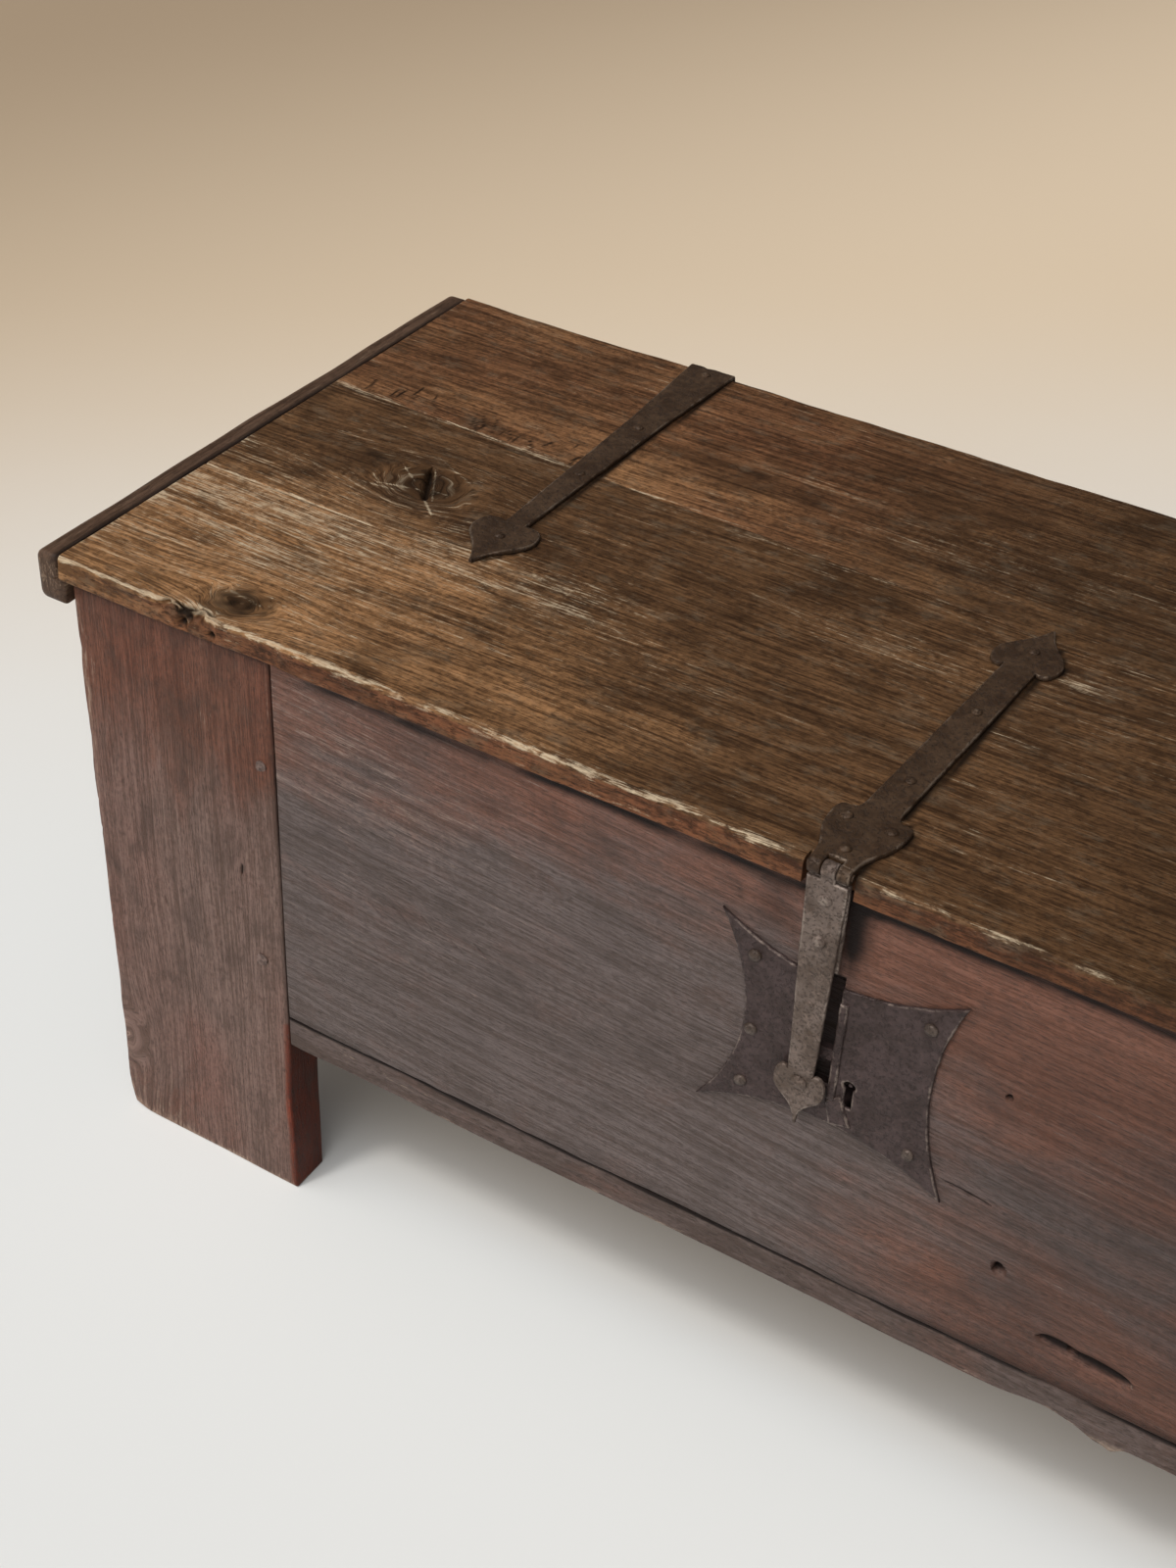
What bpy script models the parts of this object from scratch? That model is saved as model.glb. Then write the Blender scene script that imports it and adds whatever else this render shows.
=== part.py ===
"""Oak plank chest with forged strap hinges, a hasp and a lock.

Metres, +Z up. The front faces -Y and the chest stands on z = 0, centred on the origin.
"""

import math

import bmesh
import bpy
from mathutils import Matrix, Vector

# Clearance between pieces that are seated on or in each other
GAP = 0.0003

# How far a cut or a joined end runs past the face that it starts from
BEYOND = 0.010

# Carcase
BODY_LENGTH = 1.250
BODY_DEPTH = 0.522
LEG_HEIGHT = 0.172
WALL_HEIGHT = 0.340
STILE_WIDTH = 0.178
STILE_THICKNESS = 0.035
FRONT_BOARD_THICKNESS = 0.028
BACK_BOARD_THICKNESS = 0.026
END_BOARD_THICKNESS = 0.024
END_BOARD_INSET = 0.006
END_BOARD_SKIRT = 0.022
GROOVE_DEPTH = 0.010
WORN_ARRIS = 0.0015

# Floor
FLOOR_THICKNESS = 0.024
FLOOR_SETBACK = 0.004
FLOOR_END_GAP = 0.008
FLOOR_FRONT_BOARD_WIDTH = 0.252

# Tenons of the front and back boards
TENON_LENGTH = 0.048
TENON_THICKNESS = 0.010
UPPER_TENON_HEIGHT = 0.098
UPPER_TENON_DROP = 0.024
LOWER_TENON_HEIGHT = 0.064
LOWER_TENON_RISE = 0.018

# Pegs: inset from the stile's inner edge and height above the foot of their tenon
PEG_RADIUS = 0.0048
PEG_PROUD = 0.001
UPPER_PEG_INSET = 0.023
UPPER_PEG_RISE = 0.074
MIDDLE_PEG_INSET = 0.012
MIDDLE_PEG_RISE = 0.024
LOWER_PEG_INSET = 0.022
LOWER_PEG_RISE = 0.032

# Lid: the joint between its boards runs a little out of square
LID_THICKNESS = 0.019
LID_FRONT_OVERHANG = 0.008
LID_END_OVERHANG = 0.006
LID_JOINT_LEFT = 0.327
LID_JOINT_RIGHT = 0.283
CLEAT_WIDTH = 0.019
CLEAT_HEIGHT = 0.040
CLEAT_LIP = 0.004
CLEAT_ROUNDING = 0.005
CLEAT_CORNER_PULL = 0.00225
TONGUE_LENGTH = 0.009
TONGUE_THICKNESS = 0.007
TONGUE_INSET = 0.012

# Nails, and the shares of a nail's or rivet's head that its flat crown and upright edge take
NAIL_HEAD_RADIUS = 0.0052
NAIL_HEAD_HEIGHT = 0.0022
NAIL_SHANK_RADIUS = 0.0017
NAIL_POINT_RADIUS = 0.0010
NAIL_LENGTH = 0.016
HEAD_CROWN = 0.55
HEAD_EDGE = 0.30

# Heart-shaped iron ends, as shares of their length; the tip's lead is a share of the lobe
HEART_LOBE = 0.24
HEART_TIP_WIDTH = 0.02
HEART_CUSP_LEAD = -0.06
HEART_LOBE_LEAD = -0.10
HEART_SIDE_LEAD = 0.50
HEART_TIP_LEAD = 0.60
HEART_TIP_PINCH = 0.30

# Strap hinges, set in from the stiles' inner edges
STRAP_IRON = 0.0032
HINGE_INSET = 0.062
HINGE_BACK_WIDTH = 0.041
HINGE_MIDDLE_WIDTH = 0.028
HINGE_MIDDLE_REACH = 0.112
HINGE_NECK_WIDTH = 0.017
HINGE_NECK_REACH = 0.306
HINGE_HEART_WIDTH = 0.054
HINGE_HEART_LENGTH = 0.060
HINGE_NAIL_REACHES = (0.012, 0.124, 0.214)
HINGE_HEART_NAIL = 0.021
HINGE_KNUCKLE_RADIUS = 0.0065
HINGE_PIN_RADIUS = 0.003
PIN_PROUD = 0.001
KNUCKLE_RELIEF = 0.001
LEAF_WIDTH = 0.038
LEAF_NECK_WIDTH = 0.020
LEAF_NECK_REACH = 0.150
LEAF_HEART_WIDTH = 0.044
LEAF_HEART_LENGTH = 0.046

# Hasp strap on the lid: it leans to the right as it runs back
HASP_OFFSET = -0.015
HASP_STRAP_LEAN = 0.055
HASP_WIDTH = 0.029
HASP_SHOULDER_WIDTH = 0.053
HASP_SHOULDER_REACH = 0.050
HASP_SHOULDER_BEND = 0.022
HASP_WAIST_WIDTH = 0.026
HASP_WAIST_REACH = 0.068
HASP_STRAP_NECK_WIDTH = 0.024
HASP_STRAP_NECK_REACH = 0.262
HASP_STRAP_HEART_WIDTH = 0.050
HASP_STRAP_HEART_LENGTH = 0.057
SHOULDER_NAIL_SPREAD = 0.0155
SHOULDER_NAIL_REACH = 0.047
HASP_STRAP_NAIL_REACHES = (0.0165, 0.1015, 0.1955)
HASP_STRAP_HEART_NAIL = 0.023

# Hanging hasp
HASP_IRON = 0.003
HASP_KNUCKLE_RADIUS = 0.0055
HASP_PIN_RADIUS = 0.0025
HASP_EYE_WIDTH = 0.0105
HASP_SHOULDER_DROP = 0.0078
HASP_NECK_WIDTH = 0.0185
HASP_NECK_DROP = 0.017
HASP_HEART_WIDTH = 0.036
HASP_HEART_LENGTH = 0.046
HASP_STANDOFF = 0.001
NOTCH_CLEARANCE_LEFT = 0.003
NOTCH_CLEARANCE_RIGHT = 0.0065
NOTCH_CLEARANCE_BACK = 0.002
TAIL_GAP = 0.024
TAIL_RIVET_DROP = 0.0225
TAIL_RIVET_RISE = 0.0235
RIVET_RADIUS = 0.0045
RIVET_HEIGHT = 0.0018
RIVET_SHANK_RADIUS = 0.0020
RIVET_TAIL_RADIUS = 0.0032
RIVET_TAIL_HEIGHT = 0.0012

# Staple on the back of the hasp
STAPLE_FOOT_IRON = 0.0025
STAPLE_FOOT_WIDTH = 0.016
STAPLE_FOOT_MARGIN = 0.007
STAPLE_RIVET_RISE = 0.043
STAPLE_RIVET_DROP = 0.025
STAPLE_WIDTH = 0.007
STAPLE_BAR = 0.0030
STAPLE_PLAY = 0.0010

# Lock plate
LOCK_DROP = 0.134
PLATE_TOP_WIDTH = 0.171
PLATE_FOOT_WIDTH = 0.182
PLATE_HEIGHT = 0.170
PLATE_HOLLOW = 0.026
PLATE_RIGHT_HOLLOW = 0.017
PLATE_IRON = 0.0025
SLOT_LEFT = 0.0105
SLOT_RIGHT = 0.018
SLOT_DROP = 0.026
RIM_WIDTH = 0.006
RIM_HEIGHT = 0.002
RIM_DROP = 0.036
RIM_RISE = 0.048
KEYHOLE_OFFSET = 0.0175
KEYHOLE_DROP = 0.0195
KEYHOLE_RADIUS = 0.0042
KEY_SLOT_WIDTH = 0.0056
KEY_SLOT_LENGTH = 0.0195
PLATE_NAIL_OFFSET_LEFT = 0.059
PLATE_NAIL_OFFSET_RIGHT = 0.064
PLATE_NAIL_RISE = 0.057
PLATE_NAIL_DROP = 0.055
PLATE_EDGE_NAIL_OFFSET = 0.056
PLATE_EDGE_NAIL_DROP = 0.006

# Lock case, bolt, spring and key pin
CASE_WALL = 0.002
CASE_DEPTH = 0.031
CASE_LEFT_MARGIN = 0.003
CASE_RIGHT = 0.056
CASE_TOP = 0.055
CASE_BOTTOM = 0.052
RELIEF_HEIGHT = 0.012
RELIEF_DEPTH = 0.012
BOLT_DROP = 0.002
BOLT_HEIGHT = 0.010
BOLT_THICKNESS = 0.005
BOLT_LENGTH = 0.056
BOLT_SHY = 0.003
BOLT_TALON_WIDTH = 0.008
BOLT_TALON_HEIGHT = 0.003
GUIDE_OFFSET = 0.030
GUIDE_WIDTH = 0.008
GUIDE_WALL = 0.004
SPRING_IRON = 0.0012
SPRING_WIDTH = 0.004
SPRING_RISE = 0.028
SPRING_TIP_OFFSET = 0.012
SPRING_ROOT_LEAD = 0.021
SPRING_TIP_LEAD = 0.017
KEY_PIN_RADIUS = 0.0014
KEY_PIN_SHY = 0.002

# Smoothness of curved outlines and round pieces
SMOOTH_ANGLE = math.radians(40)
MERGE_DISTANCE = 1e-6
CURVE_STEPS = 6
SIDE_STEPS = 12
PEG_SIDES = 10
NAIL_SIDES = 8
PIN_SIDES = 16
KNUCKLE_SIDES = 24

# Levels and planes that the pieces share
FRONT = -BODY_DEPTH / 2
BACK = BODY_DEPTH / 2
STILE_OUTER = BODY_LENGTH / 2
STILE_INNER = STILE_OUTER - STILE_WIDTH
FLOOR_TOP = LEG_HEIGHT + FLOOR_THICKNESS
BOARD_FOOT = FLOOR_TOP + GAP
TOP = BOARD_FOOT + WALL_HEIGHT
END_OUTER = STILE_OUTER - END_BOARD_INSET
END_INNER = END_OUTER - END_BOARD_THICKNESS
LID_UNDER = TOP + GAP
LID_TOP = LID_UNDER + LID_THICKNESS
LID_FRONT = FRONT - LID_FRONT_OVERHANG
LID_END = STILE_OUTER + LID_END_OVERHANG
STRAP_UNDER = LID_TOP + GAP
STRAP_TOP = STRAP_UNDER + STRAP_IRON
HINGE_Y = BACK + GAP + HINGE_KNUCKLE_RADIUS
HINGE_Z = TOP
HINGE_OFFSET = STILE_INNER - HINGE_INSET
HINGE_KNUCKLE = HINGE_BACK_WIDTH / 3
HINGE_CLEAR = HINGE_KNUCKLE_RADIUS + KNUCKLE_RELIEF
DROP_BACK = BACK + GAP + STRAP_IRON
PLATE_BACK = FRONT - GAP
PLATE_FRONT = PLATE_BACK - PLATE_IRON
LOCK_Z = TOP - LOCK_DROP
FOOT_BACK = PLATE_FRONT - HASP_STANDOFF
FOOT_FRONT = FOOT_BACK - STAPLE_FOOT_IRON
HASP_BACK = FOOT_FRONT - GAP
HASP_FRONT = HASP_BACK - HASP_IRON
HASP_Y = HASP_BACK + GAP / 2
HASP_Z = STRAP_TOP - HASP_KNUCKLE_RADIUS
TAIL_FRONT = HASP_BACK + GAP
TAIL_BACK = TAIL_FRONT + HASP_IRON
BOLT_Z = LOCK_Z - BOLT_DROP
BOLT_FRONT = FRONT
BOLT_BACK = BOLT_FRONT + BOLT_THICKNESS
STAPLE_UPPER_RIVET = BOLT_Z + STAPLE_RIVET_RISE
STAPLE_LOWER_RIVET = BOLT_Z - STAPLE_RIVET_DROP
FOOT_TOP = STAPLE_UPPER_RIVET + STAPLE_FOOT_MARGIN
FOOT_BOTTOM = STAPLE_LOWER_RIVET - STAPLE_FOOT_MARGIN
TAIL_FOOT = FOOT_TOP + TAIL_GAP
SLOT_X_LEFT = HASP_OFFSET - SLOT_LEFT
SLOT_X_RIGHT = HASP_OFFSET + SLOT_RIGHT
CASE_LEFT_X = SLOT_X_LEFT - CASE_LEFT_MARGIN
CASE_TOP_Z = LOCK_Z + CASE_TOP
CASE_BACK = FRONT + CASE_DEPTH
KEYHOLE_Z = LOCK_Z - KEYHOLE_DROP


def make_material(name, colour, roughness, metallic):
    """Plain finish with one colour."""
    material = bpy.data.materials.new(name)
    material.use_nodes = True
    shader = material.node_tree.nodes["Principled BSDF"]
    shader.inputs["Base Color"].default_value = (*colour, 1.0)
    shader.inputs["Roughness"].default_value = roughness
    shader.inputs["Metallic"].default_value = metallic
    return material


def make_seat(name, place, parent=None):
    """Empty that carries a group of pieces, at a place in the chest's frame."""
    seat = bpy.data.objects.new(name, None)
    bpy.context.scene.collection.objects.link(seat)
    seat.parent = parent
    start = parent.matrix_world.translation if parent else Vector()
    seat.location = Vector(place) - start
    bpy.context.view_layer.update()
    return seat


def block(low, high):
    """Box between two opposite corners."""
    shape = bmesh.new()
    bmesh.ops.create_cube(shape, size=1.0)
    bmesh.ops.scale(shape, vec=Vector(high) - Vector(low), verts=shape.verts)
    bmesh.ops.translate(shape, vec=(Vector(high) + Vector(low)) / 2, verts=shape.verts)
    return shape


def prism(outline, plane, low, high):
    """Outline in the XY or XZ plane, carried from low to high along the third axis."""
    shape = bmesh.new()
    if plane == "XY":
        corners = [(across, along, low) for across, along in outline]
        lift = Vector((0, 0, high - low))
    else:
        corners = [(across, low, along) for across, along in outline]
        lift = Vector((0, high - low, 0))
    face = shape.faces.new([shape.verts.new(corner) for corner in corners])
    grown = bmesh.ops.extrude_face_region(shape, geom=[face])["geom"]
    moved = [part for part in grown if isinstance(part, bmesh.types.BMVert)]
    bmesh.ops.translate(shape, vec=lift, verts=moved)
    bmesh.ops.recalc_face_normals(shape, faces=shape.faces)
    return shape


def turned(profile, place, direction, sides):
    """Round solid from a profile of (radius, height) points that starts and ends on its axis."""
    shape = bmesh.new()
    points = [shape.verts.new((radius, 0, height)) for radius, height in profile]
    edges = [shape.edges.new(pair) for pair in zip(points, points[1:])]
    bmesh.ops.spin(
        shape, geom=points + edges, cent=(0, 0, 0), axis=(0, 0, 1),
        angle=math.tau, steps=sides, use_merge=True,
    )
    bmesh.ops.remove_doubles(shape, verts=shape.verts, dist=MERGE_DISTANCE)
    bmesh.ops.recalc_face_normals(shape, faces=shape.faces)
    turn = Vector((0, 0, 1)).rotation_difference(Vector(direction)).to_matrix().to_4x4()
    bmesh.ops.transform(shape, matrix=Matrix.Translation(place) @ turn, verts=shape.verts)
    return shape


def rod(start, end, radius, sides):
    """Round bar between two points."""
    run = Vector(end) - Vector(start)
    profile = [(0, run.length), (radius, run.length), (radius, 0), (0, 0)]
    return turned(profile, start, run.normalized(), sides)


def gather(shapes):
    """Several separate shapes as one."""
    whole = bmesh.new()
    for shape in shapes:
        mesh = bpy.data.meshes.new("gathered")
        shape.to_mesh(mesh)
        shape.free()
        whole.from_mesh(mesh)
        bpy.data.meshes.remove(mesh)
    return whole


def middle_of(shape):
    """Centre of a shape's box."""
    low = Vector([min(vert.co[axis] for vert in shape.verts) for axis in range(3)])
    high = Vector([max(vert.co[axis] for vert in shape.verts) for axis in range(3)])
    return (low + high) / 2


def add_helper(name, shape):
    """Hidden guide that shapes a piece."""
    mesh = bpy.data.meshes.new(name)
    shape.to_mesh(mesh)
    shape.free()
    helper = bpy.data.objects.new(name, mesh)
    bpy.context.scene.collection.objects.link(helper)
    helper.hide_render = True
    helper.display_type = "WIRE"
    return helper


def add_piece(name, shape, material, seat, steps=(), arris=0.0, smooth=False):
    """Named piece on its seat; each step joins another shape to it or cuts one out of it."""
    middle = middle_of(shape)
    bmesh.ops.translate(shape, vec=-middle, verts=shape.verts)
    mesh = bpy.data.meshes.new(name)
    shape.to_mesh(mesh)
    shape.free()
    mesh.materials.append(material)
    if smooth:
        mesh.shade_smooth()
        mesh.set_sharp_from_angle(angle=SMOOTH_ANGLE)
    piece = bpy.data.objects.new(name, mesh)
    bpy.context.scene.collection.objects.link(piece)
    piece.parent = seat
    piece.location = middle - seat.matrix_world.translation
    if arris:
        worn = piece.modifiers.new("worn_arris", "BEVEL")
        worn.width = arris
        worn.segments = 1
    for number, (operation, other) in enumerate(steps, start=1):
        helper = add_helper(f"{name}_guide_{number}", other)
        shaping = piece.modifiers.new(helper.name, "BOOLEAN")
        shaping.solver = "EXACT"
        shaping.operation = operation
        shaping.object = helper
    return piece


def join(shape):
    return ("UNION", shape)


def cut(shape):
    return ("DIFFERENCE", shape)


def bend(start, lead, trail, end):
    """Points along a smooth curve from start to end, without the start."""
    points = []
    for step in range(1, CURVE_STEPS + 1):
        part = step / CURVE_STEPS
        rest = 1 - part
        weights = (rest**3, 3 * rest**2 * part, 3 * rest * part**2, part**3)
        corners = (start, lead, trail, end)
        points.append(tuple(
            sum(weight * corner[axis] for weight, corner in zip(weights, corners))
            for axis in range(2)
        ))
    return points


def heart_edge(neck_width, heart_width, length):
    """Right edge of a heart-shaped iron end, from its neck at 0 to its tip at length."""
    neck = neck_width / 2
    lobe = heart_width / 2
    cusp = (neck, 0)
    side = (lobe, HEART_LOBE * length)
    tip = (HEART_TIP_WIDTH * length, length)
    tip_lead = (HEART_TIP_PINCH * lobe, HEART_TIP_LEAD * length)
    edge = [cusp]
    edge += bend(cusp, (neck, HEART_CUSP_LEAD * length), (lobe, HEART_LOBE_LEAD * length), side)
    edge += bend(side, (lobe, HEART_SIDE_LEAD * length), tip_lead, tip)
    return edge


def both_sides(edge):
    """Closed outline from its right edge, mirrored about the centre line."""
    return edge + [(-across, along) for across, along in reversed(edge)]


def shifted(edge, reach):
    """Edge moved further along the centre line."""
    return [(across, along + reach) for across, along in edge]


def lid_joint(across):
    """Place of the joint between the lid boards, at a distance from the chest's middle."""
    part = (across + STILE_OUTER) / BODY_LENGTH
    return FRONT + LID_JOINT_LEFT + (LID_JOINT_RIGHT - LID_JOINT_LEFT) * part


def head_profile(radius, height):
    """Profile of a nail's or rivet's head, from its crown down to its rim at height 0."""
    return [(0, height), (HEAD_CROWN * radius, height), (radius, HEAD_EDGE * height), (radius, 0)]


def nail(name, place, direction, material, seat):
    """Forged nail whose head lies on a plate at place."""
    profile = head_profile(NAIL_HEAD_RADIUS, NAIL_HEAD_HEIGHT)
    profile += [(NAIL_SHANK_RADIUS, 0), (NAIL_POINT_RADIUS, -NAIL_LENGTH), (0, -NAIL_LENGTH)]
    seated = Vector(place) + GAP * Vector(direction)
    return add_piece(name, turned(profile, seated, direction, NAIL_SIDES), material, seat)


def nail_holes(places, direction):
    """Holes for nails through a plate and into the wood behind it."""
    above = BEYOND * Vector(direction)
    depth = (NAIL_LENGTH + GAP) * Vector(direction)
    radius = NAIL_SHANK_RADIUS + GAP
    return gather([
        rod(Vector(place) + above, Vector(place) - depth, radius, NAIL_SIDES)
        for place in places
    ])


def tenon_spans(foot, top):
    """Heights of the lower and upper tenons of a board."""
    lower = foot + LOWER_TENON_RISE
    upper = top - UPPER_TENON_DROP
    return [
        (lower, lower + LOWER_TENON_HEIGHT),
        (upper - UPPER_TENON_HEIGHT, upper),
    ]


def tenons(side, middle_y, play):
    """Tenons of a board's end, or with play their mortises, on the left (-1) or right (+1)."""
    near, far = sorted((side * (STILE_INNER - BEYOND), side * (STILE_INNER + TENON_LENGTH + play)))
    half = TENON_THICKNESS / 2 + play
    return gather([
        block((near, middle_y - half, low - play), (far, middle_y + half, high + play))
        for low, high in tenon_spans(BOARD_FOOT, TOP)
    ])


def peg_places(side):
    """Centres of the three pegs of a stile, as distance from the middle and height."""
    lower, upper = tenon_spans(BOARD_FOOT, TOP)
    return [
        (side * (STILE_INNER + UPPER_PEG_INSET), upper[0] + UPPER_PEG_RISE),
        (side * (STILE_INNER + MIDDLE_PEG_INSET), upper[0] + MIDDLE_PEG_RISE),
        (side * (STILE_INNER + LOWER_PEG_INSET), lower[0] + LOWER_PEG_RISE),
    ]


def peg_holes(sides):
    """Holes for the front pegs through stile and tenon."""
    start = FRONT - BEYOND
    end = FRONT + STILE_THICKNESS + BEYOND
    return gather([
        rod((x, start, z), (x, end, z), PEG_RADIUS + GAP, PEG_SIDES)
        for side in sides
        for x, z in peg_places(side)
    ])


def add_front(oak_board, oak_stile, oak_peg, chest):
    """Front board tenoned between two stiles that run down as legs, with pegs."""
    middle_y = FRONT + FRONT_BOARD_THICKNESS / 2
    shape = block(
        (GAP - STILE_INNER, FRONT, BOARD_FOOT),
        (STILE_INNER - GAP, FRONT + FRONT_BOARD_THICKNESS, TOP),
    )
    case_low, case_high = case_corners(GAP)
    case_low.y = FRONT - BEYOND
    case_high.y = CASE_BACK + BEYOND
    relief = block(
        (SLOT_X_LEFT, FRONT - BEYOND, CASE_TOP_Z - CASE_WALL),
        (SLOT_X_RIGHT, FRONT + RELIEF_DEPTH, CASE_TOP_Z + RELIEF_HEIGHT),
    )
    add_piece("front_board", shape, oak_board, chest, [
        join(tenons(-1, middle_y, 0)),
        join(tenons(1, middle_y, 0)),
        cut(peg_holes((-1, 1))),
        cut(nail_holes(plate_nail_places(), (0, -1, 0))),
        cut(block(case_low, case_high)),
        cut(relief),
    ], arris=WORN_ARRIS)
    for side, word in ((-1, "left"), (1, "right")):
        steps = stile_joints(side, FRONT, 1, middle_y)
        steps.append(cut(peg_holes((side,))))
        shape = stile_plank(side, FRONT, 1)
        add_piece(f"front_stile_{word}", shape, oak_stile, chest, steps, arris=WORN_ARRIS)
        for number, (x, z) in enumerate(peg_places(side), start=1):
            head = (x, FRONT - PEG_PROUD, z)
            tail = (x, FRONT + STILE_THICKNESS, z)
            add_piece(f"front_peg_{word}_{number}", rod(head, tail, PEG_RADIUS, PEG_SIDES), oak_peg, chest)


def stile_plank(side, face, inward):
    """Upright plank from its outer face at y = face, running down as a leg."""
    left, right = sorted((side * STILE_INNER, side * STILE_OUTER))
    near, far = sorted((face, face + inward * STILE_THICKNESS))
    return block((left, near, 0), (right, far, TOP))


def stile_joints(side, face, inward, tenon_y):
    """Mortises for a board and a groove for an end board, in a stile."""
    inside = face + inward * STILE_THICKNESS
    left, right = sorted((side * (END_INNER - GAP), side * (END_OUTER + GAP)))
    near, far = sorted((inside - inward * GROOVE_DEPTH, inside + inward * BEYOND))
    groove_foot = LEG_HEIGHT - END_BOARD_SKIRT - GAP
    groove = block((left, near, groove_foot), (right, far, TOP + BEYOND))
    return [cut(tenons(side, tenon_y, GAP)), cut(groove)]


def add_back(oak_board, oak_stile, chest):
    """Back board tenoned between two stiles."""
    middle_y = BACK - BACK_BOARD_THICKNESS / 2
    shape = block(
        (GAP - STILE_INNER, BACK - BACK_BOARD_THICKNESS, BOARD_FOOT),
        (STILE_INNER - GAP, BACK, TOP),
    )
    add_piece("back_board", shape, oak_board, chest, [
        join(tenons(-1, middle_y, 0)),
        join(tenons(1, middle_y, 0)),
    ], arris=WORN_ARRIS)
    for side, word in ((-1, "left"), (1, "right")):
        steps = stile_joints(side, BACK, -1, middle_y)
        shape = stile_plank(side, BACK, -1)
        add_piece(f"back_stile_{word}", shape, oak_stile, chest, steps, arris=WORN_ARRIS)


def add_ends(oak, chest):
    """End boards housed in the stiles, each with a groove that carries the floor."""
    low_y = FRONT + STILE_THICKNESS - GROOVE_DEPTH + GAP
    high_y = BACK - STILE_THICKNESS + GROOVE_DEPTH - GAP
    for side, word in ((-1, "left"), (1, "right")):
        near, far = sorted((side * (END_INNER - BEYOND), side * (END_INNER + GROOVE_DEPTH)))
        groove = block((near, low_y - BEYOND, LEG_HEIGHT - GAP), (far, high_y + BEYOND, FLOOR_TOP + GAP))
        left, right = sorted((side * END_INNER, side * END_OUTER))
        shape = block((left, low_y, LEG_HEIGHT - END_BOARD_SKIRT), (right, high_y, TOP))
        add_piece(f"end_board_{word}", shape, oak, chest, [cut(groove)])


def add_floor(oak, chest):
    """Two floor boards, notched round the stiles, their ends in the end boards."""
    narrow = STILE_INNER - FLOOR_END_GAP
    wide = END_INNER + GROOVE_DEPTH - GAP
    seam = FRONT + FLOOR_SETBACK + FLOOR_FRONT_BOARD_WIDTH
    for name, edge, stile_face, inner in (
        ("floor_board_front", FRONT + FLOOR_SETBACK, FRONT + STILE_THICKNESS + GAP, seam),
        ("floor_board_rear", BACK - FLOOR_SETBACK, BACK - STILE_THICKNESS - GAP, seam + GAP),
    ):
        right = [(narrow, edge), (narrow, stile_face), (wide, stile_face), (wide, inner)]
        add_piece(name, prism(both_sides(right), "XY", LEG_HEIGHT, FLOOR_TOP), oak, chest)


def tongue(side, low_y, high_y, play):
    """Tongue on a lid board's end, or with play its groove in the cleat."""
    near, far = sorted((side * (LID_END - BEYOND), side * (LID_END + TONGUE_LENGTH + play)))
    middle = (LID_UNDER + LID_TOP) / 2
    half = TONGUE_THICKNESS / 2 + play
    return block((near, low_y - play, middle - half), (far, high_y + play, middle + half))


def tongue_spans(side):
    """Front and rear stretches that the two lid boards' tongues cover."""
    seam = lid_joint(side * LID_END)
    return [
        (LID_FRONT + TONGUE_INSET, seam - TONGUE_INSET),
        (seam + TONGUE_INSET, BACK - TONGUE_INSET),
    ]


def add_lid(oak_board, oak_cleat, lid):
    """Two lid boards with tongues in an end cleat at each side."""
    notch_left = HASP_OFFSET - HASP_WIDTH / 2 - NOTCH_CLEARANCE_LEFT
    notch_right = HASP_OFFSET + HASP_WIDTH / 2 + NOTCH_CLEARANCE_RIGHT
    notch_back = HASP_Y + HASP_KNUCKLE_RADIUS + NOTCH_CLEARANCE_BACK
    front_outline = [
        (-LID_END, LID_FRONT),
        (notch_left, LID_FRONT),
        (notch_left, notch_back),
        (notch_right, notch_back),
        (notch_right, LID_FRONT),
        (LID_END, LID_FRONT),
        (LID_END, lid_joint(LID_END)),
        (-LID_END, lid_joint(-LID_END)),
    ]
    rear_outline = [
        (-LID_END, lid_joint(-LID_END) + GAP),
        (LID_END, lid_joint(LID_END) + GAP),
        (LID_END, BACK),
        (-LID_END, BACK),
    ]
    outlines = (("lid_board_front", front_outline), ("lid_board_rear", rear_outline))
    for number, (name, outline) in enumerate(outlines):
        add_piece(name, prism(outline, "XY", LID_UNDER, LID_TOP), oak_board, lid, [
            join(tongue(-1, *tongue_spans(-1)[number], 0)),
            join(tongue(1, *tongue_spans(1)[number], 0)),
            cut(nail_holes(lid_nail_places(), (0, 0, 1))),
        ])
    for side, word in ((-1, "left"), (1, "right")):
        outline = [(side * across, height) for across, height in cleat_section()]
        grooves = gather([tongue(side, *span, GAP) for span in tongue_spans(side)])
        add_piece(f"lid_cleat_{word}", prism(outline, "XZ", LID_FRONT, BACK), oak_cleat, lid, [cut(grooves)])


def cleat_section():
    """L-shaped section of the right cleat, with its outer corners rounded."""
    inner = LID_END + GAP
    outer = inner + CLEAT_WIDTH
    lip = LID_END - CLEAT_LIP
    ledge = LID_UNDER - GAP
    foot = LID_TOP - CLEAT_HEIGHT
    turn = CLEAT_ROUNDING
    pull = CLEAT_CORNER_PULL
    low_start = (outer - turn, foot)
    low_end = (outer, foot + turn)
    high_start = (outer, LID_TOP - turn)
    high_end = (outer - turn, LID_TOP)
    section = [(inner, LID_TOP), (inner, ledge), (lip, ledge), (lip, foot), low_start]
    section += bend(low_start, (outer - pull, foot), (outer, foot + pull), low_end)
    section.append(high_start)
    section += bend(high_start, (outer, LID_TOP - pull), (outer - pull, LID_TOP), high_end)
    return section


def hinge_nail_places(side):
    """Nails of one strap hinge on the lid."""
    reaches = [*HINGE_NAIL_REACHES, HINGE_NECK_REACH + HINGE_HEART_NAIL]
    return [(side * HINGE_OFFSET, BACK - reach, STRAP_TOP) for reach in reaches]


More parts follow.
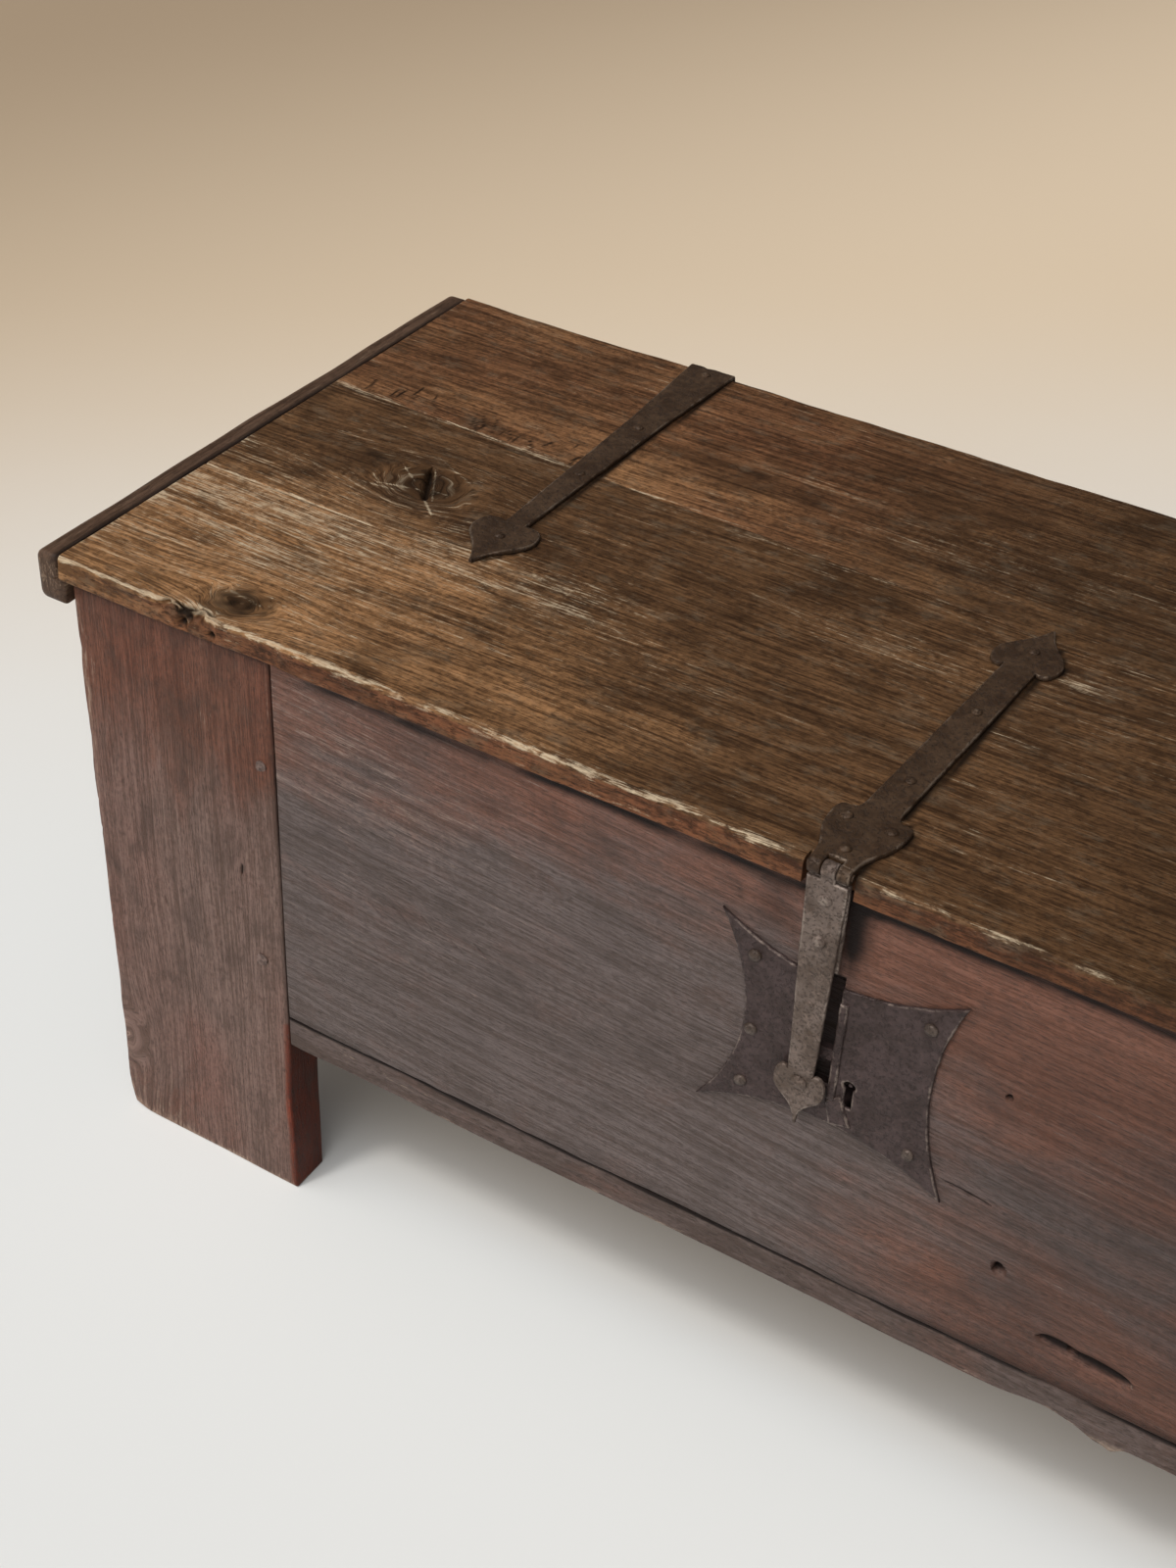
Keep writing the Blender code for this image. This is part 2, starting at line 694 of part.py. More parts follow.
def hasp_strap_x(reach):
    """Centre line of the hasp strap at a distance back from its pin."""
    return HASP_OFFSET + HASP_STRAP_LEAN * reach


def hasp_nail_places():
    """Nails of the hasp strap on the lid."""
    places = [(hasp_strap_x(reach), HASP_Y + reach, STRAP_TOP) for reach in HASP_STRAP_NAIL_REACHES]
    heart = HASP_STRAP_NECK_REACH + HASP_STRAP_HEART_NAIL
    places.append((hasp_strap_x(heart), HASP_Y + heart, STRAP_TOP))
    for side in (-1, 1):
        x = hasp_strap_x(SHOULDER_NAIL_REACH) + side * SHOULDER_NAIL_SPREAD
        places.append((x, HASP_Y + SHOULDER_NAIL_REACH, STRAP_TOP))
    return places


def lid_nail_places():
    """Every nail that goes into the lid."""
    return hinge_nail_places(-1) + hinge_nail_places(1) + hasp_nail_places()


def ring(middle_x, width, y, z, radius):
    """Solid knuckle round a pin that lies along X."""
    start = (middle_x - width / 2, y, z)
    end = (middle_x + width / 2, y, z)
    return rod(start, end, radius, KNUCKLE_SIDES)


def pin_hole(middle_x, width, y, z, radius):
    """Hole for a pin, past both ends of its knuckles."""
    start = (middle_x - width / 2 - BEYOND, y, z)
    end = (middle_x + width / 2 + BEYOND, y, z)
    return rod(start, end, radius + GAP, PIN_SIDES)


def add_hinge_strap(name, side, iron, lid):
    """Strap that runs over the lid, turns down at its back edge and ends in two knuckles."""
    x = side * HINGE_OFFSET
    half = HINGE_BACK_WIDTH / 2
    side_width = (HINGE_BACK_WIDTH - HINGE_KNUCKLE) / 2
    heart = heart_edge(HINGE_NECK_WIDTH, HINGE_HEART_WIDTH, HINGE_HEART_LENGTH)
    edge = [(half, BACK - DROP_BACK), (HINGE_MIDDLE_WIDTH / 2, HINGE_MIDDLE_REACH)]
    edge += shifted(heart, HINGE_NECK_REACH)
    outline = [(x + across, BACK - reach) for across, reach in both_sides(edge)]
    drop = block((x - half, BACK + GAP, HINGE_Z), (x + half, DROP_BACK, STRAP_TOP))
    knuckles = gather([
        ring(x + way * (half - side_width / 2), side_width, HINGE_Y, HINGE_Z, HINGE_KNUCKLE_RADIUS)
        for way in (-1, 1)
    ])
    room = block(
        (x - HINGE_KNUCKLE / 2 - GAP, BACK - BEYOND, HINGE_Z - HINGE_CLEAR),
        (x + HINGE_KNUCKLE / 2 + GAP, HINGE_Y + HINGE_CLEAR, HINGE_Z + HINGE_CLEAR),
    )
    add_piece(name, prism(outline, "XY", STRAP_UNDER, STRAP_TOP), iron, lid, [
        join(drop),
        join(knuckles),
        cut(room),
        cut(pin_hole(x, HINGE_BACK_WIDTH, HINGE_Y, HINGE_Z, HINGE_PIN_RADIUS)),
        cut(nail_holes(hinge_nail_places(side), (0, 0, 1))),
    ])


def add_hinge_leaf(name, side, iron, chest):
    """Leaf on the back board with the middle knuckle."""
    x = side * HINGE_OFFSET
    knuckle = HINGE_KNUCKLE - 2 * GAP
    heart = heart_edge(LEAF_NECK_WIDTH, LEAF_HEART_WIDTH, LEAF_HEART_LENGTH)
    edge = [(knuckle / 2, 0), (knuckle / 2, HINGE_CLEAR), (LEAF_WIDTH / 2, HINGE_CLEAR)]
    edge += shifted(heart, LEAF_NECK_REACH)
    outline = [(x + across, HINGE_Z - reach) for across, reach in both_sides(edge)]
    add_piece(name, prism(outline, "XZ", BACK + GAP, DROP_BACK), iron, chest, [
        join(ring(x, knuckle, HINGE_Y, HINGE_Z, HINGE_KNUCKLE_RADIUS)),
        cut(pin_hole(x, HINGE_BACK_WIDTH, HINGE_Y, HINGE_Z, HINGE_PIN_RADIUS)),
    ])


def add_hinges(iron, nail_iron, chest, lid):
    """Two strap hinges, each a strap, a leaf, a pin and the strap's nails."""
    reach = HINGE_BACK_WIDTH / 2 + PIN_PROUD
    for side, word in ((-1, "left"), (1, "right")):
        x = side * HINGE_OFFSET
        add_hinge_strap(f"hinge_strap_{word}", side, iron, lid)
        add_hinge_leaf(f"hinge_leaf_{word}", side, iron, chest)
        start = (x - reach, HINGE_Y, HINGE_Z)
        end = (x + reach, HINGE_Y, HINGE_Z)
        pin = rod(start, end, HINGE_PIN_RADIUS, PIN_SIDES)
        add_piece(f"hinge_pin_{word}", pin, iron, chest, smooth=True)
        for number, place in enumerate(hinge_nail_places(side), start=1):
            nail(f"hinge_nail_{word}_{number}", place, (0, 0, 1), nail_iron, lid)


def add_hasp_strap(iron, nail_iron, lid):
    """Strap on the lid with two knuckles that carry the hasp's pin."""
    half = HASP_WIDTH / 2
    eye = HASP_EYE_WIDTH / 2
    side_width = half - eye
    clear = HASP_KNUCKLE_RADIUS + KNUCKLE_RELIEF
    shoulder = HASP_SHOULDER_WIDTH / 2
    waist = HASP_WAIST_WIDTH / 2
    edge = [(half, 0)]
    edge += bend(
        (half, 0), (half, HASP_SHOULDER_BEND),
        (shoulder, HASP_SHOULDER_BEND), (shoulder, HASP_SHOULDER_REACH),
    )
    edge += bend(
        (shoulder, HASP_SHOULDER_REACH), (shoulder, HASP_WAIST_REACH),
        (waist, HASP_SHOULDER_REACH), (waist, HASP_WAIST_REACH),
    )
    heart = heart_edge(HASP_STRAP_NECK_WIDTH, HASP_STRAP_HEART_WIDTH, HASP_STRAP_HEART_LENGTH)
    edge += shifted(heart, HASP_STRAP_NECK_REACH)
    outline = [(hasp_strap_x(reach) + across, HASP_Y + reach) for across, reach in both_sides(edge)]
    knuckles = gather([
        ring(HASP_OFFSET + way * (half - side_width / 2), side_width, HASP_Y, HASP_Z, HASP_KNUCKLE_RADIUS)
        for way in (-1, 1)
    ])
    room = block(
        (HASP_OFFSET - eye - GAP, HASP_Y - clear, HASP_Z - clear),
        (HASP_OFFSET + eye + GAP, HASP_Y + clear, HASP_Z + clear),
    )
    add_piece("hasp_strap", prism(outline, "XY", STRAP_UNDER, STRAP_TOP), iron, lid, [
        join(knuckles),
        cut(room),
        cut(pin_hole(HASP_OFFSET, HASP_WIDTH, HASP_Y, HASP_Z, HASP_PIN_RADIUS)),
        cut(nail_holes(hasp_nail_places(), (0, 0, 1))),
    ])
    start = (HASP_OFFSET - half - PIN_PROUD, HASP_Y, HASP_Z)
    end = (HASP_OFFSET + half + PIN_PROUD, HASP_Y, HASP_Z)
    add_piece("hasp_pin", rod(start, end, HASP_PIN_RADIUS, PIN_SIDES), iron, lid, smooth=True)
    for number, place in enumerate(hasp_nail_places(), start=1):
        nail(f"hasp_strap_nail_{number}", place, (0, 0, 1), nail_iron, lid)


def rivet_places():
    """Heights of the hasp's rivets, the back face that each one clasps and its tail's height."""
    return [
        (HASP_Z - TAIL_RIVET_DROP, TAIL_BACK, RIVET_TAIL_HEIGHT),
        (TAIL_FOOT + TAIL_RIVET_RISE, TAIL_BACK, RIVET_TAIL_HEIGHT),
        (STAPLE_UPPER_RIVET, FOOT_BACK, 0),
        (STAPLE_LOWER_RIVET, FOOT_BACK, 0),
    ]


def rivet_holes():
    """Holes through the hasp and what is riveted to it."""
    start = HASP_FRONT - BEYOND
    radius = RIVET_SHANK_RADIUS + GAP
    return gather([
        rod((HASP_OFFSET, start, z), (HASP_OFFSET, back + BEYOND, z), radius, NAIL_SIDES)
        for z, back, tail in rivet_places()
    ])


def add_hasp(iron, nail_iron, hasp):
    """Hanging hasp folded round its pin, with a staple riveted on its back."""
    half = HASP_WIDTH / 2 - GAP
    eye = HASP_EYE_WIDTH / 2 - GAP
    heart_reach = HASP_Z - BOLT_Z + HASP_NECK_DROP
    top = [(eye, 0), (eye, HASP_SHOULDER_DROP), (half, HASP_SHOULDER_DROP)]
    edge = top + shifted(heart_edge(HASP_NECK_WIDTH, HASP_HEART_WIDTH, HASP_HEART_LENGTH), heart_reach)
    outline = [(HASP_OFFSET + across, HASP_Z - drop) for across, drop in both_sides(edge)]
    tail_edge = top + [(half, HASP_Z - TAIL_FOOT)]
    tail_outline = [(HASP_OFFSET + across, HASP_Z - drop) for across, drop in both_sides(tail_edge)]
    add_piece("hasp_plate", prism(outline, "XZ", HASP_FRONT, HASP_BACK), iron, hasp, [
        join(ring(HASP_OFFSET, 2 * eye, HASP_Y, HASP_Z, HASP_KNUCKLE_RADIUS)),
        join(prism(tail_outline, "XZ", TAIL_FRONT, TAIL_BACK)),
        cut(pin_hole(HASP_OFFSET, HASP_WIDTH, HASP_Y, HASP_Z, HASP_PIN_RADIUS)),
        cut(rivet_holes()),
    ])
    for number, (z, back, tail) in enumerate(rivet_places(), start=1):
        front = HASP_FRONT - GAP
        grip = back + GAP - front
        profile = head_profile(RIVET_RADIUS, RIVET_HEIGHT)
        profile += [(RIVET_SHANK_RADIUS, 0), (RIVET_SHANK_RADIUS, -grip)]
        if tail:
            profile += [(RIVET_TAIL_RADIUS, -grip), (RIVET_TAIL_RADIUS, -grip - tail)]
        profile.append((0, -grip - tail))
        shape = turned(profile, (HASP_OFFSET, front, z), (0, -1, 0), NAIL_SIDES)
        add_piece(f"hasp_rivet_{number}", shape, nail_iron, hasp)
    add_staple(iron, hasp)


def add_staple(iron, hasp):
    """Foot plate behind the hasp with a loop that the bolt goes through."""
    room = BOLT_HEIGHT / 2 + STAPLE_PLAY
    hole_back = BOLT_BACK + STAPLE_PLAY
    low = BOLT_Z - room - STAPLE_BAR
    high = BOLT_Z + room + STAPLE_BAR
    half = STAPLE_WIDTH / 2
    foot = block(
        (HASP_OFFSET - STAPLE_FOOT_WIDTH / 2, FOOT_FRONT, FOOT_BOTTOM),
        (HASP_OFFSET + STAPLE_FOOT_WIDTH / 2, FOOT_BACK, FOOT_TOP),
    )
    loop = block(
        (HASP_OFFSET - half, FOOT_FRONT, low),
        (HASP_OFFSET + half, hole_back + STAPLE_BAR, high),
    )
    hole = block(
        (HASP_OFFSET - half - BEYOND, FOOT_BACK, BOLT_Z - room),
        (HASP_OFFSET + half + BEYOND, hole_back, BOLT_Z + room),
    )
    add_piece("hasp_staple", foot, iron, hasp, [join(loop), cut(hole), cut(rivet_holes())])


def plate_nail_places():
    """Nails of the lock plate: three on its left, two on its right."""
    left = -PLATE_NAIL_OFFSET_LEFT
    right = PLATE_NAIL_OFFSET_RIGHT
    spots = [
        (left, PLATE_NAIL_RISE),
        (-PLATE_EDGE_NAIL_OFFSET, -PLATE_EDGE_NAIL_DROP),
        (left, -PLATE_NAIL_DROP),
        (right, PLATE_NAIL_RISE),
        (right, -PLATE_NAIL_DROP),
    ]
    return [(x, PLATE_FRONT, LOCK_Z + rise) for x, rise in spots]


def plate_outline():
    """Four drawn-out corners with hollow sides between them."""
    top = PLATE_TOP_WIDTH / 2
    foot = PLATE_FOOT_WIDTH / 2
    tall = PLATE_HEIGHT / 2
    corners = [(-foot, -tall), (foot, -tall), (top, tall), (-top, tall)]
    hollows = [PLATE_HOLLOW, PLATE_RIGHT_HOLLOW, PLATE_HOLLOW, PLATE_HOLLOW]
    outline = []
    for here, following, hollow in zip(corners, corners[1:] + corners[:1], hollows):
        run = Vector(following) - Vector(here)
        inward = Vector((-run.y, run.x)).normalized()
        for step in range(SIDE_STEPS):
            part = step / SIDE_STEPS
            point = Vector(here) + part * run + 4 * part * (1 - part) * hollow * inward
            outline.append((point.x, LOCK_Z + point.y))
    return outline


def keyhole_outline():
    """Round head with a straight slot under it."""
    half = KEY_SLOT_WIDTH / 2
    meet = math.asin(half / KEYHOLE_RADIUS)
    foot = KEYHOLE_Z - KEY_SLOT_LENGTH
    outline = [(KEYHOLE_OFFSET - half, foot), (KEYHOLE_OFFSET + half, foot)]
    for step in range(SIDE_STEPS + 1):
        angle = meet - math.pi / 2 + (math.tau - 2 * meet) * step / SIDE_STEPS
        x = KEYHOLE_OFFSET + KEYHOLE_RADIUS * math.cos(angle)
        outline.append((x, KEYHOLE_Z + KEYHOLE_RADIUS * math.sin(angle)))
    return outline


def case_corners(play):
    """Outer corners of the lock case, or with play of the hole that takes it."""
    low = Vector((CASE_LEFT_X - play, FRONT, LOCK_Z - CASE_BOTTOM - play))
    high = Vector((CASE_RIGHT + play, CASE_BACK, CASE_TOP_Z + play))
    return low, high


def add_lock(iron, nail_iron, chest, bolt_way):
    """Lock plate, case, bolt, spring and key pin."""
    slot = block(
        (SLOT_X_LEFT, PLATE_FRONT - BEYOND, LOCK_Z - SLOT_DROP),
        (SLOT_X_RIGHT, PLATE_BACK + BEYOND, LOCK_Z + PLATE_HEIGHT / 2),
    )
    rim = block(
        (SLOT_X_RIGHT, PLATE_FRONT - RIM_HEIGHT, LOCK_Z - RIM_DROP),
        (SLOT_X_RIGHT + RIM_WIDTH, PLATE_BACK, LOCK_Z + RIM_RISE),
    )
    add_piece("lock_plate", prism(plate_outline(), "XZ", PLATE_FRONT, PLATE_BACK), iron, chest, [
        join(rim),
        cut(slot),
        cut(prism(keyhole_outline(), "XZ", PLATE_FRONT - BEYOND, PLATE_BACK + BEYOND)),
        cut(nail_holes(plate_nail_places(), (0, -1, 0))),
    ])
    for number, place in enumerate(plate_nail_places(), start=1):
        nail(f"lock_plate_nail_{number}", place, (0, -1, 0), nail_iron, chest)
    add_case(iron, chest)
    add_bolt(iron, chest, bolt_way)


def add_case(iron, chest):
    """Iron tray behind the plate, open above the slot, with a guide for the bolt."""
    low, high = case_corners(0)
    wall = Vector((CASE_WALL, CASE_WALL, CASE_WALL))
    hollow_low = low + wall
    hollow_high = high - wall
    hollow_low.y = FRONT - BEYOND
    opening = block(
        (SLOT_X_LEFT, FRONT - BEYOND, CASE_TOP_Z - CASE_WALL - BEYOND),
        (SLOT_X_RIGHT, FRONT + RELIEF_DEPTH, CASE_TOP_Z + BEYOND),
    )
    reach = BOLT_HEIGHT / 2 + GUIDE_WALL
    guide = block(
        (GUIDE_OFFSET, BOLT_FRONT, BOLT_Z - reach),
        (GUIDE_OFFSET + GUIDE_WIDTH, CASE_BACK - CASE_WALL / 2, BOLT_Z + reach),
    )
    way = block(
        (GUIDE_OFFSET - BEYOND, FRONT - BEYOND, BOLT_Z - BOLT_HEIGHT / 2 - GAP),
        (GUIDE_OFFSET + GUIDE_WIDTH + BEYOND, BOLT_BACK + GAP, BOLT_Z + BOLT_HEIGHT / 2 + GAP),
    )
    pin_way = rod(
        (KEYHOLE_OFFSET, CASE_BACK - CASE_WALL - BEYOND, KEYHOLE_Z),
        (KEYHOLE_OFFSET, CASE_BACK + BEYOND, KEYHOLE_Z),
        KEY_PIN_RADIUS + GAP, PEG_SIDES,
    )
    add_piece("lock_case", block(low, high), iron, chest, [
        cut(block(hollow_low, hollow_high)),
        cut(opening),
        join(guide),
        cut(way),
        cut(pin_way),
    ])


def add_bolt(iron, chest, bolt_way):
    """Sliding bolt drawn back beside the staple, its leaf spring and the key's pin."""
    tip = HASP_OFFSET + STAPLE_WIDTH / 2 + BOLT_SHY
    low = BOLT_Z - BOLT_HEIGHT / 2
    high = BOLT_Z + BOLT_HEIGHT / 2
    talon = block(
        (KEYHOLE_OFFSET - BOLT_TALON_WIDTH / 2, BOLT_FRONT - BEYOND, low - BEYOND),
        (KEYHOLE_OFFSET + BOLT_TALON_WIDTH / 2, BOLT_BACK + BEYOND, low + BOLT_TALON_HEIGHT),
    )
    bar = block((tip, BOLT_FRONT, low), (tip + BOLT_LENGTH, BOLT_BACK, high))
    add_piece("lock_bolt", bar, iron, bolt_way, [cut(talon)])
    root = (CASE_RIGHT - CASE_WALL - GAP, high + SPRING_RISE)
    foot = (SPRING_TIP_OFFSET, high + GAP)
    thick = Vector((0, SPRING_IRON))
    lead = (root[0] - SPRING_ROOT_LEAD, root[1])
    trail = (foot[0] + SPRING_TIP_LEAD, foot[1])
    under = [root, *bend(root, lead, trail, foot)]
    over = [tuple(Vector(point) + thick) for point in reversed(under)]
    spring = prism(under + over, "XZ", BOLT_FRONT, BOLT_FRONT + SPRING_WIDTH)
    add_piece("bolt_spring", spring, iron, chest)
    start = (KEYHOLE_OFFSET, PLATE_FRONT + KEY_PIN_SHY, KEYHOLE_Z)
    end = (KEYHOLE_OFFSET, CASE_BACK, KEYHOLE_Z)
    add_piece("key_pin", rod(start, end, KEY_PIN_RADIUS, PEG_SIDES), iron, chest, smooth=True)


def main():
    """Builds the whole chest with its lid closed, hasp down and bolt drawn back."""
    for thing in list(bpy.data.objects):
        bpy.data.objects.remove(thing, do_unlink=True)
    chest = make_seat("chest", (0, 0, 0))
    lid = make_seat("lid_axis", (0, HINGE_Y, HINGE_Z), chest)
    hasp = make_seat("hasp_axis", (HASP_OFFSET, HASP_Y, HASP_Z), lid)
    bolt_way = make_seat("bolt_axis", (HASP_OFFSET, (BOLT_FRONT + BOLT_BACK) / 2, BOLT_Z), chest)
    oak_front = make_material("front_oak", (0.105, 0.066, 0.050), 0.62, 0.0)
    oak_stile = make_material("stile_oak", (0.150, 0.085, 0.055), 0.60, 0.0)
    oak_lid = make_material("lid_oak", (0.165, 0.092, 0.052), 0.58, 0.0)
    oak_cleat = make_material("cleat_oak", (0.055, 0.036, 0.028), 0.60, 0.0)
    oak_inside = make_material("inside_oak", (0.130, 0.085, 0.055), 0.75, 0.0)
    oak_peg = make_material("peg_oak", (0.110, 0.066, 0.045), 0.62, 0.0)
    strap_iron = make_material("strap_iron", (0.085, 0.070, 0.062), 0.52, 0.75)
    lock_iron = make_material("lock_iron", (0.080, 0.070, 0.066), 0.55, 0.75)
    nail_iron = make_material("nail_iron", (0.095, 0.082, 0.074), 0.48, 0.75)
    add_front(oak_front, oak_stile, oak_peg, chest)
    add_back(oak_inside, oak_stile, chest)
    add_ends(oak_inside, chest)
    add_floor(oak_inside, chest)
    add_lid(oak_lid, oak_cleat, lid)
    add_hinges(strap_iron, nail_iron, chest, lid)
    add_hasp_strap(strap_iron, nail_iron, lid)
    add_hasp(strap_iron, nail_iron, hasp)
    add_lock(lock_iron, nail_iron, chest, bolt_way)


main()
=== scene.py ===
"""Looks of an old oak plank chest: worn boards, forged straps, a hasp and a lock.

Laid out as an add-on: settings, one operator for each group of pieces, one for the
stage, and one panel. Metres, +Z up, the front of the chest towards -Y.
"""

import math
from collections import namedtuple
from dataclasses import dataclass

import bpy
import numpy as np
from mathutils import Matrix, Vector
from mathutils.geometry import delaunay_2d_cdt


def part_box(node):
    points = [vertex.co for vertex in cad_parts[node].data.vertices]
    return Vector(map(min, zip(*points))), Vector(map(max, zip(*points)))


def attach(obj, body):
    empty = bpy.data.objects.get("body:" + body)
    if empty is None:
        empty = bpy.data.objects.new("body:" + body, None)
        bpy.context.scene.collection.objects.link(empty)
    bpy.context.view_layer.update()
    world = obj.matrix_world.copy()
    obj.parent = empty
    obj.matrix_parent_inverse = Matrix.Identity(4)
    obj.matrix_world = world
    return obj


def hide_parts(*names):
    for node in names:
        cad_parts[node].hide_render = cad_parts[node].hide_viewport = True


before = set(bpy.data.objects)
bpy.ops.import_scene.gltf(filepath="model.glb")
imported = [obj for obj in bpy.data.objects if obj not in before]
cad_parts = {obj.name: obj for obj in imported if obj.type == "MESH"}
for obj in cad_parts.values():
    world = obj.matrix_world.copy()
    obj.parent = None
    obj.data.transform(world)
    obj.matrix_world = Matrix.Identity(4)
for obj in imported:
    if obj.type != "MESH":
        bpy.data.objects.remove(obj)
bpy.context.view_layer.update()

bl_info = {
    "name": "Plank chest",
    "version": (1, 0, 0),
    "blender": (4, 5, 0),
    "location": "3D View > Sidebar > Plank chest",
    "description": "Dresses an old oak plank chest with worn boards, forged iron and a plain stage",
    "category": "Object",
}

SIDES = {"left": -1, "right": 1}

# Levels of the chest, read off its solids.
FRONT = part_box("front_board")[0].y
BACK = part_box("back_board")[1].y
STILE_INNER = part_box("front_stile_right")[0].x
STILE_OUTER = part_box("front_stile_right")[1].x
STILE_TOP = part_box("front_stile_right")[1].z
BOARD_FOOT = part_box("front_board")[0].z
END_LOW, END_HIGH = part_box("end_board_right")
FLOOR_LOW, FLOOR_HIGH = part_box("floor_board_front")
FLOOR_REAR_LOW, FLOOR_REAR_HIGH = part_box("floor_board_rear")
LID_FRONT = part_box("lid_board_front")[0].y
LID_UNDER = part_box("lid_board_front")[0].z
LID_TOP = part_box("lid_board_front")[1].z
CLEAT_LOW, CLEAT_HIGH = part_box("lid_cleat_right")

# Boards. A hole is given by its left, right, foot and top, the lid's notch by its left, right and
# depth, a peg by its distance from the middle and its height.
GAP = 0.0003
STILE_THICK = 0.035
FRONT_THICK = 0.028
BACK_THICK = 0.026
END_THICK = 0.024
LID_END = 0.631
LID_JOINT_LEFT = 0.0662
LID_JOINT_RIGHT = 0.0218
CLEAT_CORNER = 0.006
CASE_HOLE = (-0.0288, 0.0563, 0.350, 0.4576)
RELIEF = (-0.0255, 0.003, 0.4553, 0.4693)
RELIEF_DEPTH = 0.012
LID_NOTCH = (-0.0325, 0.002, 0.009)
PEG_SPOTS = ((0.470, 0.4883), (0.459, 0.4383), (0.469, 0.2463))
PEG_LENGTH = 0.012
PEG_SINK = 0.0056
LYING = ((1, 0, 0), (0, 1, 0), (0, 0, 1))

# Meshes: distances between lines and points, rounded edges, and what counts as sharp.
SHARP_ANGLE = math.radians(52)
CLOSEST_LINES = 0.00012
FINEST_MARK = 0.0006
STEP_HALF = 0.0002
SIDE_LINES = 0.0022
UNDER_LINES = 0.02
RIM_FADE = 0.0042
INNER_ROUND = 0.0012
END_ROUND = 0.0016
OUTLINE_STEP = 0.0022
SECOND_RING = 0.0016
CLEAR_OF_RIM = 0.0011
SHARP_CORNER = 1.6
CORNER_SHARE = 0.3

# Straps and hinges. Reaches run along a strap from its pin or from the back of the lid.
IRON = 0.0032
HINGE_X = 0.385
HINGE_Y = 0.2678
HINGE_Z = 0.5363
HINGE_DROP = 0.0196
HINGE_TURN = 0.004
HINGE_WIDTH = 0.041
HINGE_KNUCKLE = 0.0137
HINGE_CLEAR = 0.0075
HINGE_RADIUS = 0.0065
HINGE_REACHES = (0.012, 0.124, 0.214, 0.327)
LEAF_NAIL_DROPS = (0.026, 0.090, 0.170)
HASP_X = -0.015
HASP_LEAN = 0.055
HASP_Y = -0.26745
HASP_Z = 0.5536
HASP_RADIUS = 0.0055
HASP_HALF = 0.0145
HASP_EYE = 0.00525
HASP_CLEAR = 0.0065
HASP_NAIL_REACHES = (0.0165, 0.1015, 0.1955, 0.285)
HASP_SHOULDER_NAIL = (0.047, 0.0155)
HASP_BACK = -0.2676
HASP_IRON = 0.003
TAIL_BACK = -0.2643
TAIL_FOOT = 0.4743
RIVET_HEIGHTS = (0.5311, 0.4978, 0.4433, 0.3753)
RIVET_SHARES = ((1.05, 1.05, 1.1), (0.95, 0.95, 1.1), (0.72, 0.72, 0.35), (1.3, 1.3, 1.0))

# Lock. The slot is given by its left, right and foot, the rim by its left, right, foot, top and height,
# the keyhole by its place, radius, width and drop. The plate's corners and nails are measured from LOCK_Z.
PLATE_BACK = -0.2613
PLATE_IRON = 0.0025
LOCK_Z = 0.4023
PLATE_CORNERS = ((-0.091, -0.085), (0.091, -0.085), (0.0855, 0.085), (-0.0855, 0.085))
PLATE_HOLLOWS = (0.026, 0.017, 0.026, 0.026)
SLOT = (-0.0255, 0.003, 0.3763)
RIM = (0.003, 0.009, 0.3663, 0.4503, 0.0045)
TONGUE = ((0.007, 0.344), (0.023, 0.348), (0.0125, 0.373), (0.002, 0.364))
KEYHOLE = (0.0175, 0.3828, 0.0042, 0.0056, 0.0195)
PLATE_NAILS = ((-0.059, 0.057), (-0.056, -0.006), (-0.059, -0.055), (0.064, 0.057), (0.064, -0.055))

# Camera, from the photograph.
EYE = (0.352, -1.227, 1.388)
EYE_RIGHT = (0.8546, 0.5175, 0.0434)
EYE_FORWARD = (-0.3882, 0.6921, -0.6085)
LENS = 49.98
SENSOR = 36.0
EYE_REACH = 60.0

# Floor: its half width, and where the painted shadow under the chest starts and is full.
FLOOR_REACH = 14.0
SHADE_FRONT = (-0.235, -0.125)
SHADE_BACK = (0.27, 0.22)
SHADE_SIDE = (0.62, 0.54)

# Lamps: where the light comes from, its spread in degrees, its power and its colour.
LAMPS = {
    "window": ((-0.20, -0.42, 0.88), 8, 0.88, (1.0, 0.975, 0.945)),
    "ceiling": ((-0.46, -0.42, 0.78), 50, 0.58, (1.0, 0.985, 0.965)),
    "front_fill": ((0.05, -0.70, 0.71), 50, 0.86, (1.0, 0.99, 0.98)),
}
LAMP_AWAY = 4

# Room: a soft bright patch of sky on a dim surround, and the backdrop that the camera sees.
SKY_WAY = (-0.20, -0.58, 0.79)
SKY_EDGE = (0.52, 0.97)
SKY_DIM = (0.08, 0.08, 0.085, 1)
SKY_BRIGHT = (1.15, 1.15, 1.17, 1)
BACKDROP = (0.74, 0.70, 0.63, 1)

Mark = namedtuple("Mark", "u v long wide turn depth dark pale")
Shape = namedtuple("Shape", "points faces rub")


